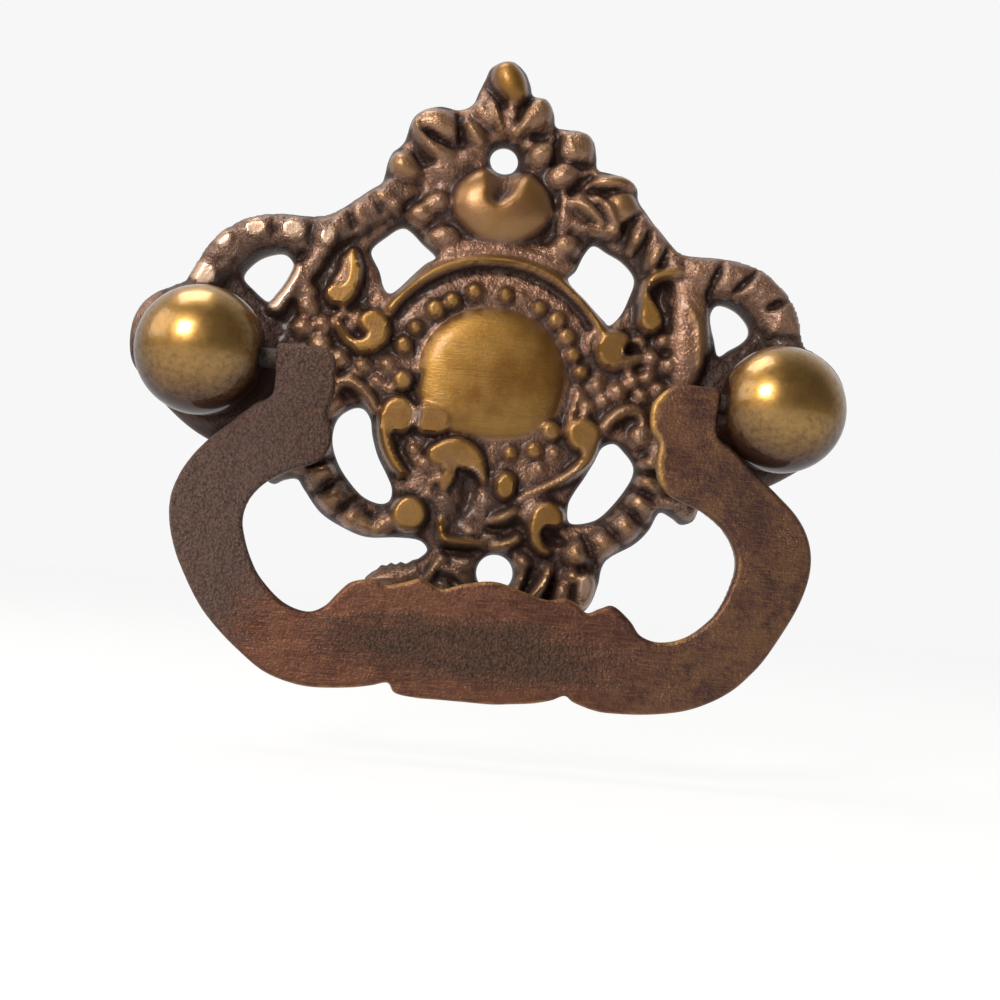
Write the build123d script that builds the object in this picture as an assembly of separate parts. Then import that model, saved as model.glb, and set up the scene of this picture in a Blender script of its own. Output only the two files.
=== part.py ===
from build123d import *
import os
from math import atan2, cos, hypot, radians, sin, tan

# Cast brass drawer pull: a pierced backplate, two domed posts and a swinging bail.
# Millimetres. The pull is modelled lying on its back, with x to the right, y up the drawer
# front and z out towards the hand. stand_up() then turns it upright, front towards -Y, with
# the origin midway between the posts on the plate's back.

# Posts
post_spacing = 63.5  # centre to centre, two and a half inches
head_diameter = 14.0
head_foot = 12.4  # diameter of the head's underside
head_side = 5.0  # from the underside up to the widest girth
head_crown = 5.8
head_flat = 6.3  # from the post's axis to the flat beside the bail's tab
neck_diameter = 7.6
neck_length = 2.2  # plate to the underside of the head
shank_diameter = 4.6  # through the plate and its nut
shank_clearance = 0.15
shank_overrun = 0.6  # shank past the nut
stud_diameter = 4.1
stud_length = 24.0  # behind the plate's back
stud_chamfer = 0.6
nut_diameter = 9.0
nut_thickness = 1.8
nut_bevel = 0.5

# Bail
bail_thickness = 3.8
bail_draft = 14.0  # degrees, narrowing from the flat back, which faces out, to the moulded side
bail_reach = 34.6  # middle of the grip to the outside of an arm
bail_drop = 34.8  # pivot line to the bottom of the grip
arm_width = 8.2
girth_drop = 17.2  # pivot line down to the widest part of the arms
grip_rise = 12.9  # height of the grip at its middle
grip_notch = 9.6  # from the middle to the nick in the grip's lower edge
notch_depth = 0.8
grip_sway = 1.5  # the casting runs over to the right below its tabs
tab_width = 7.6
tab_rise = 1.5  # tab above the pivot line
tab_gap = 0.85  # tab to the flat on the post's head
pin_diameter = 2.2
pin_clearance = 0.06
pin_rise = 4.2  # pin above the underside of the head
pin_engagement = 3.2  # how far the pin reaches into the head
pin_end_gap = 0.5

# Backplate
plate_thickness = 2.2  # floor of the relief
lobe_radius = 9.4
lobe_lift = 1.2  # middle of an end lobe above the pivot line
loop_height = 9.3  # middle of a rope loop above the pivot line
loop_inset = 5.2  # and inwards from the post
loop_radius = 6.1
rope_radius = 2.15
rope_knob = 2.55
lower_knob = 1.7  # knobs of the lower ropes and their drop balls
boss_radius = 8.3
boss_height = 2.2  # the middle of the field
boss_rise = 1.5
boss_crown = 0.5
bead_radius = 0.95
bead_rise = 1.0
bead_gap = 0.55  # boss to the ring of beads
bead_count = 18
bead_pitch = 15.0  # degrees
arch_gap = 3.25  # ring of beads to the arch rib
arch_rib = 0.6  # half the rib's width
arch_rise = 1.5
arch_spread = 61.0  # degrees to each side of the top
eye_rise = 1.4  # flat tops of the scroll eyes
scroll_rib = 0.7  # half the width of the thin scroll ribs
scroll_rise = 1.1
kidney_thickness = 4.4
kidney_rise = 2.5
kidney_slit = 1.5
kidney_mouth = 42.0  # degrees that its ends rise above the middle
crest_shift = -0.9  # the crest was cast a little left of the middle
top_pin_hole = 3.3  # diameter
top_pin_height = 27.3
bottom_pin_hole = 4.2  # diameter
bottom_pin_drop = 20.7
bottom_pin_shift = 2.4
pin_land = 0.9  # width of the flat land round a pin hole
pin_land_rise = 1.0
foot_margin = 3.8  # plate below the bottom pin hole

post_x = post_spacing / 2
field_edge = post_x - 9.75  # inner side of the rope loops' struts
head_base = plate_thickness + neck_length
pivot_height = head_base + pin_rise
pin_radius = pin_diameter / 2
tab_outer = post_x - head_flat - tab_gap
tab_inner = tab_outer - tab_width
bead_ring_radius = boss_radius + bead_gap + bead_radius
arch_radius = bead_ring_radius + bead_radius + arch_gap
relief_root = plate_thickness / 2  # relief is rooted half way into the plate
relief_top = plate_thickness + 8.0  # above everything on the plate
foot_level = -bottom_pin_drop - bottom_pin_hole / 2 - foot_margin


def stand_up(shape):
    """Turns a piece from lying on its back to standing against the drawer front."""
    return Rot(90, 0, 0) * shape


def run(start, *moves):
    """Edges from start: a point is a straight move, a pair (via, end) is an arc."""
    edges = []
    for move in moves:
        if isinstance(move[0], tuple):
            via, end = move
            edges.append(ThreePointArc(start, via, end))
        else:
            end = move
            edges.append(Line(start, end))
        start = end
    return edges


def mirrored(side, moves):
    """The same moves on the given side, with x counted outwards from the middle."""
    flipped = []
    for move in moves:
        if isinstance(move[0], tuple):
            flipped.append(tuple((side * x, y) for x, y in move))
        else:
            flipped.append((side * move[0], move[1]))
    return flipped


def polar(centre, radius, angle):
    return (centre[0] + radius * cos(radians(angle)), centre[1] + radius * sin(radians(angle)))


def corner(start, end):
    """Middle of a rounded corner that leaves start along y and reaches end along x."""
    return (start[0] + 0.29 * (end[0] - start[0]), start[1] + 0.71 * (end[1] - start[1]))


def crown(radius, base, rise):
    """Arc of a round crown, from its edge at the base up to its top on the turning axis."""
    sphere = (radius**2 + rise**2) / (2 * rise)
    half = atan2(radius, sphere - rise) / 2
    return ((sphere * sin(half), base + rise - sphere * (1 - cos(half))), (0, base + rise))


def slab(edges, bottom, top):
    """A flat body with the closed outline of the edges."""
    return Pos(0, 0, bottom) * extrude(make_face(edges), top - bottom)


def drill(place, diameter, bottom, top):
    return Pos(*place, (bottom + top) / 2) * Cylinder(diameter / 2, top - bottom)


def carved(rings):
    """A chip-carved form: the hull of level rings given as (height, list of points)."""
    return ConvexPolyhedron([(x, y, height) for height, ring in rings for x, y in ring])


def round_ring(place, radius, corners):
    return [polar(place, radius, k * 360 / corners) for k in range(corners)]


def ridge(start, end, radius):
    """A leaf rib from tip to tip: sloping shoulders up to a crease, rooted in the plate."""
    length = hypot(end[0] - start[0], end[1] - start[1])
    along = ((end[0] - start[0]) / length, (end[1] - start[1]) / length)

    def section(half_width, inset):
        return [
            (start[0] + d * along[0] - w * along[1], start[1] + d * along[1] + w * along[0])
            for d in (inset, length - inset)
            for w in (-half_width, half_width)
        ]

    return carved(
        (
            (relief_root, [start, *section(radius, 0.3 * length), end]),
            (plate_thickness + 0.6 * radius, section(0.75 * radius, 0.26 * length)),
            (plate_thickness + radius, section(0, 0.34 * length)),
        )
    )


def knob(place, radius, level=plate_thickness):
    """A round bead or rope knob, half sunk."""
    return carved(
        (
            (relief_root, round_ring(place, radius, 7)),
            (level + 0.6 * radius, round_ring(place, 0.8 * radius, 7)),
            (level + radius, [place]),
        )
    )


def stub(place, radius, rise, corners=6):
    """A flat-topped bead or scroll eye with a drafted side."""
    foot = round_ring(place, radius + 0.25 * rise, corners)
    top = round_ring(place, radius - 0.15 * rise, corners)
    return carved(((relief_root, foot), (plate_thickness + rise, top)))


def arc_rib(centre, radius, half_width, start, sweep, rise, faces=3):
    """A rib along an arc: a half-round section of a few flats, turned about the arc's centre."""
    level = plate_thickness + rise - half_width
    section = [(radius + half_width, relief_root), (radius - half_width, relief_root)]
    for k in range(faces + 1):
        across, up = polar((radius, level), half_width, 180 - 180 * k / faces)
        section.append((across, up))
    face = make_face(run(section[-1], *section))
    return Location((*centre, 0), (0, 0, start)) * revolve(Plane.XZ * face, Axis.Z, sweep)


def plate_outline():
    """The outer edge, clockwise from the tip of the crest."""
    tip = (crest_shift - 0.3, 39.0)
    lobe = (post_x + 0.2, lobe_lift)
    notch = polar(lobe, lobe_radius, 66)
    lobe_out = polar(lobe, lobe_radius, 22)
    lobe_side = polar(lobe, lobe_radius, -18)
    lobe_foot = (post_x + 0.5, -8.2)
    loop_foot = (field_edge - 1.6, 18.3)
    loop_top = (post_x - 0.8, 16.5)
    rope_start = (field_edge - 1.3, -11.6)
    rope_dip = (post_x - 5.0, -9.9)
    right = [
        ((0.4, 38.0), (1.5, 35.2)),
        ((4.0, 34.2), (4.5, 31.9)),
        ((8.7, 31.2), (9.9, 27.2)),
        ((14.1, 26.4), (15.1, 24.0)),
        loop_foot,
        (loop_top, notch),
        (lobe_out, lobe_side),
        lobe_foot,
        (rope_dip, rope_start),
        ((18.2, -15.6), (14.6, -18.4)),
        ((14.9, -21.3), (12.9, foot_level + 2.4)),
    ]
    bottom = [((0.3, foot_level), (-12.4, foot_level + 3.2))]
    left = mirrored(
        -1,
        [
            ((10.5, -21.2), (6.2, -20.2)),
            ((5.6, -18.8), (6.6, -17.7)),
            (14.2, -17.7),
            ((18.2, -15.4), rope_start),
            (rope_dip, lobe_foot),
            lobe_side,
            (lobe_out, notch),
            (loop_top, loop_foot),
            (14.8, 22.9),
            ((14.4, 26.2), (12.7, 28.1)),
            ((11.0, 32.0), (5.2, 33.2)),
            ((3.9, 37.0), (-tip[0], tip[1])),
        ],
    )
    return run(tip, *right, *bottom, *left)


def windows(side):
    """The pierced openings on one side: rope loop, upper and lower window."""
    loop = [
        ((field_edge + 2.8, 10.0), (field_edge + 3.4, 12.9)),
        ((field_edge + 6.3, 13.1), (field_edge + 7.5, 10.4)),
        ((field_edge + 6.4, 8.6), (field_edge + 4.2, 7.2)),
    ]
    upper = [
        ((8.6, 16.2), (10.9, 18.4)),
        ((13.6, 17.3), (15.4, 14.9)),
        ((14.8, 12.0), (12.9, 9.5)),
        ((10.6, 11.9), (7.7, 14.2)),
    ]
    lower = [
        ((16.6, -5.4), (17.3, -7.8)),
        ((15.2, -11.9), (10.6, -14.1)),
        ((10.4, -12.3), (11.6, -9.0)),
        ((12.9, -6.7), (13.9, -4.6)),
    ]
    cuts = []
    for moves in (loop, upper, lower):
        moves = mirrored(side, moves)
        cuts.append(slab(run(moves[-1][-1], *moves), -1, relief_top))
    return cuts


def rope_loop(side):
    """A band of rope knobs round the loop opening, and the strut beside the field."""
    centre = (side * (post_x - loop_inset), loop_height)
    first, last, knobs = 12, 118, 5
    core_start = first - 20 if side > 0 else 180 - last - 20
    core_sweep = last - first + 40
    parts = [arc_rib(centre, loop_radius, rope_radius, core_start, core_sweep, rope_radius)]
    for k in range(knobs):
        angle = first + k * (last - first) / (knobs - 1)
        parts.append(knob(polar(centre, side * loop_radius, side * angle), rope_knob))
    strut_foot = (side * (field_edge + 1.7), 4.4)
    strut_top = (side * (field_edge + 0.4), 17.4)
    parts.append(ridge(strut_foot, strut_top, 1.2))
    return parts


def field_scrolls(side):
    """Volute, teardrop, slope knobs and loose beads beside the arch."""
    eye = (side * 14.1, 6.6)
    curl = (side * 15.3, 6.1)
    curl_start = 165 if side > 0 else 205
    parts = [
        stub(eye, 1.6, eye_rise, 9),
        arc_rib(curl, 2.4, scroll_rib, curl_start, 170, scroll_rise),
        knob((side * 18.1, 10.0), 1.6),
        ridge((side * 17.9, 8.8), (side * 17.3, 15.6), 1.4),
    ]
    for x, y in ((19.2, 17.5), (17.2, 19.0), (15.2, 20.6)):
        parts.append(knob((side * x, y), 1.5))
    for x, y in ((12.2, 2.0), (14.9, 1.6), (16.9, 2.9), (18.6, 5.4), (20.6, 4.7), (21.6, 7.4)):
        parts.append(stub((side * x, y), 0.85 * bead_radius, bead_rise))
    return parts


def lower_scrolls(side):
    """Eyes and crescent round the lower window, the lower rope, its hook and its drop ball."""
    crescent = (side * 7.3, -5.5)
    crescent_start = -95 if side > 0 else 175
    hook = (side * 16.3, -3.4)
    rope_centre = (9.5, -8.5)
    rope_sweep = 9.3
    ball = (side * (field_edge + 1.7), -11.6)
    parts = [
        stub((side * 10.6, -4.0), 1.8, eye_rise, 9),
        arc_rib(crescent, 5.0, scroll_rib, crescent_start, 100, scroll_rise),
        stub((side * 7.9, -14.3), 1.7, eye_rise, 9),
        arc_rib(hook, 2.0, scroll_rib, 15, 150, scroll_rise),
        knob(ball, lower_knob),
        ridge((side * (field_edge - 3.5), -9.4), (ball[0] + side * 0.9, -12.2), 1.0),
    ]
    for angle in (12, -8, -27, -46, -65, -84):
        x, y = polar(rope_centre, rope_sweep, angle)
        parts.append(knob((side * x, y), lower_knob))
    return parts


def boss_and_arch():
    """The plain domed boss, its ring of beads, and the arch band with its rib."""
    centre = (0, boss_height)
    edge = plate_thickness + boss_rise - boss_crown
    profile = run(
        (0, relief_root),
        (boss_radius + 0.4, relief_root),
        (boss_radius, edge),
        crown(boss_radius, edge, boss_crown),
        (0, relief_root),
    )
    parts = [Pos(*centre, 0) * revolve(Plane.XZ * make_face(profile), Axis.Z)]
    ring_start = 90 - bead_pitch * (bead_count + 3) / 2
    for k in range(bead_count):
        place = polar(centre, bead_ring_radius, ring_start + k * bead_pitch)
        parts.append(stub(place, bead_radius, bead_rise))
    arch_centre = (0, boss_height - 1.2)
    start, end = 90 - arch_spread, 90 + arch_spread
    parts.append(arc_rib(arch_centre, arch_radius, arch_rib, start, 2 * arch_spread, arch_rise))
    inner, outer = arch_radius - 0.5, arch_radius + 1.1
    band = run(
        polar(arch_centre, inner, start),
        polar(arch_centre, outer, start),
        (polar(arch_centre, outer, 90), polar(arch_centre, outer, end)),
        polar(arch_centre, inner, end),
        (polar(arch_centre, inner, 90), polar(arch_centre, inner, start)),
    )
    parts.append(slab(band, relief_root, plate_thickness + arch_rise - arch_rib))
    return parts


def kidney():
    """The plump horseshoe under the top pin hole: a fat rib bent round a slit, open to the hole."""
    bend = (kidney_slit + kidney_thickness) / 2
    half = kidney_thickness / 2
    centre = (crest_shift + 0.2, top_pin_height - 4.9)
    start, sweep = 180 - kidney_mouth, 180 + 2 * kidney_mouth
    parts = [arc_rib(centre, bend, half, start, sweep, kidney_rise, 4)]
    for angle in (180 - kidney_mouth, kidney_mouth):
        parts.append(knob(polar(centre, bend, angle), half, plate_thickness + kidney_rise - half))
    return parts


def crest():
    """Leaves and lobes of the crest, and the foliage round the horseshoe."""
    leaves = (
        ((-1.7, 39.2), (-0.3, 32.6), 2.3),
        ((-3.7, 34.8), (-1.5, 30.6), 1.1),
        ((3.9, 34.9), (0.1, 30.3), 1.5),
        ((-12.4, 31.4), (-7.4, 26.4), 1.5),
        ((-10.2, 32.6), (-6.2, 27.8), 1.7),
        ((-6.2, 31.8), (-3.2, 28.0), 1.1),
        ((8.6, 31.6), (4.7, 25.0), 1.9),
        ((4.9, 30.2), (1.7, 27.2), 1.2),
        ((14.7, 26.2), (7.6, 24.0), 1.5),
        ((14.6, 23.6), (9.6, 21.9), 1.3),
        ((12.6, 24.6), (7.2, 22.2), 1.5),
        ((13.9, 20.0), (10.4, 23.2), 1.2),
    )
    parts = [ridge(start, end, radius) for start, end, radius in leaves]
    parts.append(knob((-12.6, 25.2), 1.9))
    for place in ((-7.4, 17.9), (7.0, 18.1), (-9.7, 20.2), (-12.6, 21.4)):
        parts.append(knob(place, 1.3))
    return parts


def stem():
    """Stem between the boss and the bottom pin hole, with its knots, comma and feet."""
    trunk = [(-4.9, -11.2), (4.9, -11.2), (5.3, -24.0), (-5.3, -24.0)]
    parts = [slab(run(trunk[-1], *trunk), relief_root, plate_thickness + 0.7)]
    ribs = (
        ((-4.4, -17.6), (1.2, -17.6), 0.9),
        ((1.0, -15.0), (4.8, -13.0), 1.2),
        ((1.4, -17.8), (5.2, -16.0), 1.2),
        ((2.7, -8.6), (2.7, -12.6), 1.4),
        ((-5.3, -9.9), (-3.3, -12.6), 1.0),
        ((-4.6, -19.4), (-3.6, -24.4), 1.1),
        ((5.6, -18.2), (7.6, -23.8), 1.2),
        ((10.8, -19.0), (9.9, -24.2), 1.2),
        ((13.0, -18.8), (12.4, -24.4), 1.6),
        ((-5.4, -21.0), (-12.2, -23.2), 1.2),
        ((-9.5, -16.3), (-14.4, -16.6), 1.4),
        ((-3.4, -6.4), (0.8, -10.8), 1.5),
    )
    parts += [ridge(start, end, radius) for start, end, radius in ribs]
    parts.append(stub((-3.9, -7.9), 2.1, eye_rise, 9))
    return parts


def pin_holes():
    """Places and diameters of the two holes for fixing pins."""
    top = (crest_shift - 0.1, top_pin_height)
    bottom = (bottom_pin_shift, -bottom_pin_drop)
    return ((top, top_pin_hole), (bottom, bottom_pin_hole))


def backplate():
    """The pierced casting: floor and relief, then every opening cut right through."""
    relief = [*boss_and_arch(), *kidney(), *crest(), *stem()]
    for side in (-1, 1):
        relief += [*rope_loop(side), *field_scrolls(side), *lower_scrolls(side)]
    land_top = plate_thickness + pin_land_rise
    above_lands = []
    cuts = []
    for place, hole in pin_holes():
        land = hole + 2 * pin_land
        relief.append(drill(place, land, relief_root, land_top))
        above_lands.append(drill(place, land, land_top, relief_top))
        cuts.append(drill(place, hole, -1, relief_top))
    for side in (-1, 1):
        post_place = (side * post_x, 0)
        cuts += windows(side)
        cuts.append(drill(post_place, head_diameter, plate_thickness, relief_top))
        cuts.append(drill(post_place, shank_diameter + 2 * shank_clearance, -1, relief_top))
    return slab(plate_outline(), 0, plate_thickness) + relief - above_lands - cuts


def post(side):
    """A turned post: domed head with a flat bored for the bail's pin, neck and stud."""
    head = head_diameter / 2
    foot = head_foot / 2
    neck = neck_diameter / 2
    shank = shank_diameter / 2
    stud = stud_diameter / 2
    shank_end = -nut_thickness - shank_overrun
    girth = head_base + head_side
    profile = run(
        (0, -stud_length),
        (stud - stud_chamfer, -stud_length),
        (stud, -stud_length + stud_chamfer),
        (stud, shank_end),
        (shank, shank_end),
        (shank, plate_thickness),
        (neck, plate_thickness),
        (neck, head_base),
        (foot, head_base),
        (head, girth),
        crown(head, girth, head_crown),
        (0, -stud_length),
    )
    turned = revolve(Plane.XZ * make_face(profile), Axis.Z)
    beside = Box(head_diameter, 2 * head_diameter, 4 * head_diameter)
    turned -= Pos(-side * (head_flat + head_diameter / 2), 0, head_base + 2 * head_diameter) * beside
    depth = pin_engagement + pin_end_gap
    bore = Cylinder(pin_radius + pin_clearance, 2 * depth)
    turned -= Pos(-side * head_flat, 0, pivot_height) * Rot(0, 90, 0) * bore
    return Pos(side * post_x, 0, 0) * turned


def sway(side, move):
    """A move of the bail, x counted out from its middle, carried over as the casting runs askew."""
    if isinstance(move[0], tuple):
        return tuple(sway(side, point) for point in move)
    tab_foot = -12.0
    return (side * move[0] + grip_sway * min(1.0, max(0.0, move[1] / tab_foot)), move[1])


def bail_half(side, inset):
    """Edges of one half of the bail, from the nick in its lower edge round to the grip's top."""
    bottom = -bail_drop + inset
    reach = bail_reach - inset
    inner = bail_reach - arm_width + inset
    outside, inside = tab_outer - inset, tab_inner + inset
    tab_top = tab_rise - inset
    grip_top = -bail_drop + grip_rise - 1.2 - inset
    nick = (grip_notch, bottom + notch_depth)
    heel = (bail_reach - 16.5, bottom + 0.4)
    girth = (reach, -girth_drop)
    shoulder = (inner - 4.3, -12.0 + inset)
    inner_girth = (inner, -girth_drop - 0.4)
    palm = (inner - 7.4, -bail_drop + 8.0 - inset)
    moves = [
        ((0.5 * (grip_notch + heel[0]), bottom + 0.3), heel),
        (corner(girth, heel), girth),
        ((reach - 0.5, -14.0), (reach - 2.3, -11.2)),
        (outside, -4.2 - 0.6 * inset),
        (outside, tab_top),
        (inside + 2.4, tab_top),
        ((inside + 0.6, tab_top - 0.9), (inside, tab_top - 3.0)),
        (inside, -3.8),
        ((inside + 0.9, -5.4), (inside + 0.6, -6.8)),
        ((inside + 0.7, -9.4), (inside + 2.6, -11.0 + inset)),
        shoulder,
        (corner(inner_girth, shoulder), inner_girth),
        (corner(inner_girth, palm), palm),
        ((inner - 10.0, 0.52 * palm[1] + 0.48 * grip_top), (inner - 12.5, grip_top)),
    ]
    return run(sway(side, nick), *[sway(side, move) for move in moves])


def scallops(left, right):
    """The wavy upper edge of the grip: five leaf tips, the middle one broad and high."""
    widths = (4.4, 6.0, 10.2, 6.0, 4.4)
    rises = (0.5, 0.7, 1.1, 0.6, 0.5)
    edges = []
    done = 0.0
    for width, rise in zip(widths, rises):
        start = left + (right - left) * (done / sum(widths))
        done += width
        end = left + (right - left) * (done / sum(widths))
        middle = (start + end) / 2 + Vector(0, rise)
        edges.append(ThreePointArc(start, middle, end))
    return edges


def bail_face(inset, height):
    """The bail's outline, drawn in all round by the inset, at a height above the plate's back."""
    left, right = [bail_half(side, inset) for side in (-1, 1)]
    top_edge = scallops(left[-1] @ 1, right[-1] @ 1)
    lower_edge = ThreePointArc(right[0] @ 0, (grip_sway, -bail_drop + inset), left[0] @ 0)
    return Pos(0, 0, height) * make_face([*left, *top_edge, *reversed(right), lower_edge])


def bail():
    """Grip, arms and tabs drafted from the flat back, with a pin at each tab."""
    moulded_side = bail_face(bail_thickness * tan(radians(bail_draft)), pivot_height - bail_thickness / 2)
    flat_back = bail_face(0, pivot_height + bail_thickness / 2)
    body = loft([moulded_side, flat_back], ruled=True)
    tip = post_x - head_flat + pin_engagement
    root = tab_outer - tab_width / 2
    pin = Rot(0, 90, 0) * Cylinder(pin_radius, tip - root)
    return body + [Pos(side * (tip + root) / 2, 0, pivot_height) * pin for side in (-1, 1)]


def post_nuts():
    """Two round nuts on the studs, up against the plate's back."""
    bore = shank_diameter / 2 + shank_clearance / 3
    nut = Cylinder(nut_diameter / 2, nut_thickness) - Cylinder(bore, 2 * nut_thickness)
    rims = nut.edges().filter_by(GeomType.CIRCLE).group_by(SortBy.RADIUS)[-1]
    nut = chamfer(rims.sort_by(Axis.Z)[0], nut_bevel)
    left, right = [Pos(side * post_x, 0, -nut_thickness / 2) * nut for side in (-1, 1)]
    return left + right


os.makedirs("parts", exist_ok=True)
pieces = {
    "backplate": backplate(),
    "post_left": post(-1),
    "post_right": post(1),
    "bail": bail(),
    "post_nuts": post_nuts(),
}
for name, piece in pieces.items():
    export_step(stand_up(piece), f"parts/{name}.step")
    print(name, round(piece.volume, 2), "mm3")
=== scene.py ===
# %% [markdown]
# # A cast brass drawer pull
# The pull is a pierced, carved backplate, two turned posts with domed heads, and a bail that hangs
# between them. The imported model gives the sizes, the joint and the places of all the pieces. This
# lesson dresses each piece with a surface worked out in numpy, then gives it the finish that an old
# hand-worn casting has. Lengths in the lesson are in millimetres, x to the right, y up, and h out of
# the drawer front towards the hand.

from math import pi, radians

import bmesh
import bpy
import numpy as np
from mathutils import Matrix, Vector


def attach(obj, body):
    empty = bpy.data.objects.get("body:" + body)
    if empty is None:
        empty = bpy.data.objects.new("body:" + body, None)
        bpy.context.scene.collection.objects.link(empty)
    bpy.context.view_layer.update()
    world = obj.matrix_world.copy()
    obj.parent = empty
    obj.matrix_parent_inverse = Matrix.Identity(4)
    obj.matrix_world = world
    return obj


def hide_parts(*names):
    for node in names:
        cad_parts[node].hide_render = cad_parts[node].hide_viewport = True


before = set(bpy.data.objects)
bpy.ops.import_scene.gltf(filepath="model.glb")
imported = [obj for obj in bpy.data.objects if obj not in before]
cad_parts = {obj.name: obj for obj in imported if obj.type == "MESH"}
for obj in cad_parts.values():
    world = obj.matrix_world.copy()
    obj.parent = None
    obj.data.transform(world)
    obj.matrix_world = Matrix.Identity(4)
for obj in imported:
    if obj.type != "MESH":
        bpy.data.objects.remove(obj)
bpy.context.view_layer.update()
MM = 0.001

# %% [markdown]
# ## Lines through points
# A carver's pattern is drawn as a few points with a fair curve through them. The curve used here
# passes through every point, so a place read off the real plate stays where it was read. Extra
# columns, such as the width of a rib and how high it stands, ride along the same curve.


# %% Fair curves
def fair_line(points, closed=False, steps=6):
    """A smooth line through the points: between two of them it is a cubic whose slope at each end
    is half the step from the point before to the point after."""
    p = np.asarray(points, float)
    if closed:
        before, here, after, beyond = np.roll(p, 1, 0), p, np.roll(p, -1, 0), np.roll(p, -2, 0)
    else:
        longer = np.vstack([2 * p[0] - p[1], p, 2 * p[-1] - p[-2]])
        before, here, after, beyond = (longer[k : len(p) - 1 + k] for k in range(4))
    a, b, c, d = (q[:, None, :] for q in (before, here, after, beyond))
    t = np.arange(steps)[None, :, None] / steps
    bend = t**2 * (a - 2.5 * b + 2 * c - 0.5 * d) + t**3 * (1.5 * (b - c) + 0.5 * (d - a))
    line = (b + t * (c - a) / 2 + bend).reshape(-1, p.shape[1])
    return line if closed else np.vstack([line, p[-1]])


def round_line(x, y, radius, steps=48):
    """A circle as a closed line."""
    turn = np.arange(steps) * 2 * pi / steps
    return np.column_stack([x + radius * np.cos(turn), y + radius * np.sin(turn)])


def nearest_on(start, span, x, y):
    """For every point: the distance to the closest place on the spans and that place's columns,
    found by dropping a perpendicular on each span and keeping the shortest."""
    across, up = x[:, None] - start[:, 0], y[:, None] - start[:, 1]
    t = across * span[:, 0] + up * span[:, 1]
    t = np.clip(t / ((span[:, :2] ** 2).sum(1) + 1e-12), 0, 1)
    gap = (across - t * span[:, 0]) ** 2 + (up - t * span[:, 1]) ** 2
    best = gap.argmin(1)
    row = np.arange(len(x))
    return np.sqrt(gap[row, best]), start[best] + t[row, best][:, None] * span[best]


def edge_gap(edges, x, y):
    """Distance of each point from the closed edges, positive on the metal and negative off it, with
    the closest edge point. A point is on the metal when a line to its right crosses an odd number
    of edges."""
    start = np.vstack(edges)
    end = np.vstack([np.roll(edge, -1, 0) for edge in edges])
    gap, place = np.empty(x.size), np.empty((x.size, 2))
    for block in np.array_split(np.arange(x.size), x.size // 1500 + 1):
        bx, by = x[block], y[block]
        gap[block], place[block] = nearest_on(start, end - start, bx, by)
        rising = (start[:, 1] > by[:, None]) != (end[:, 1] > by[:, None])
        slope = (end[:, 0] - start[:, 0]) / (end[:, 1] - start[:, 1] + 1e-9)
        crossed = bx[:, None] < start[:, 0] + slope * (by[:, None] - start[:, 1])
        gap[block] *= np.where((rising & crossed).sum(1) % 2 == 1, 1, -1)
    return gap, place


# %% [markdown]
# ## A sheet to carve
# Both the plate and the bail are flat patterns with a height worked over them. So each starts as a
# square grid laid over its outline, like a sheet of modelling wax. Every grid point knows how far it
# is from the nearest edge. Booleans could cut the pattern from a block, but they leave long thin
# faces that shade badly, and a grid takes any carving.


# %% Lay the grid
CAST_CRISP, NOT_FILED = radians(48), 99.0


def lay_sheet(edges, step, level):
    """A square grid over the edges: the point at row i and column j lies at (x0 + j*step,
    y0 + i*step) and carries its distance from the edge, a height and how far it is worn. Cells whose
    middle is on the metal are kept, and their outermost points slide onto the true edge."""
    low, high = np.vstack(edges).min(0) - 2 * step, np.vstack(edges).max(0) + 2 * step
    x, y = np.arange(low[0], high[0], step), np.arange(low[1], high[1], step)
    gx, gy = np.meshgrid(x, y)
    gap, place = edge_gap(edges, gx.ravel(), gy.ravel())
    gap, place = gap.reshape(gx.shape), place.reshape(*gx.shape, 2)
    cell = np.pad(gap[:-1, :-1] + gap[1:, :-1] + gap[:-1, 1:] + gap[1:, 1:] > 0, 1)
    a, b, c, d = cell[:-1, :-1], cell[1:, 1:], cell[1:, :-1], cell[:-1, 1:]
    c |= a & b & ~d
    a |= c & d & ~b
    touch = a.astype(int) + b + c + d
    rim = (touch > 0) & (touch < 4)
    gap = np.where(rim, 0, gap)
    gx, gy = np.where(rim, place[..., 0], gx), np.where(rim, place[..., 1], gy)
    sheet = {"x": x, "y": y, "gx": gx, "gy": gy, "gap": gap, "cell": cell[1:-1, 1:-1], "used": touch > 0}
    sheet["level"] = np.full(gx.shape, float(level))
    sheet["worn"] = np.zeros(gx.shape)
    sheet["file"] = np.full(gx.shape, NOT_FILED)
    print("grid of", gx.shape[1], "by", gx.shape[0], "points,", int(sheet["cell"].sum()), "cells of metal")
    return sheet


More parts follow.
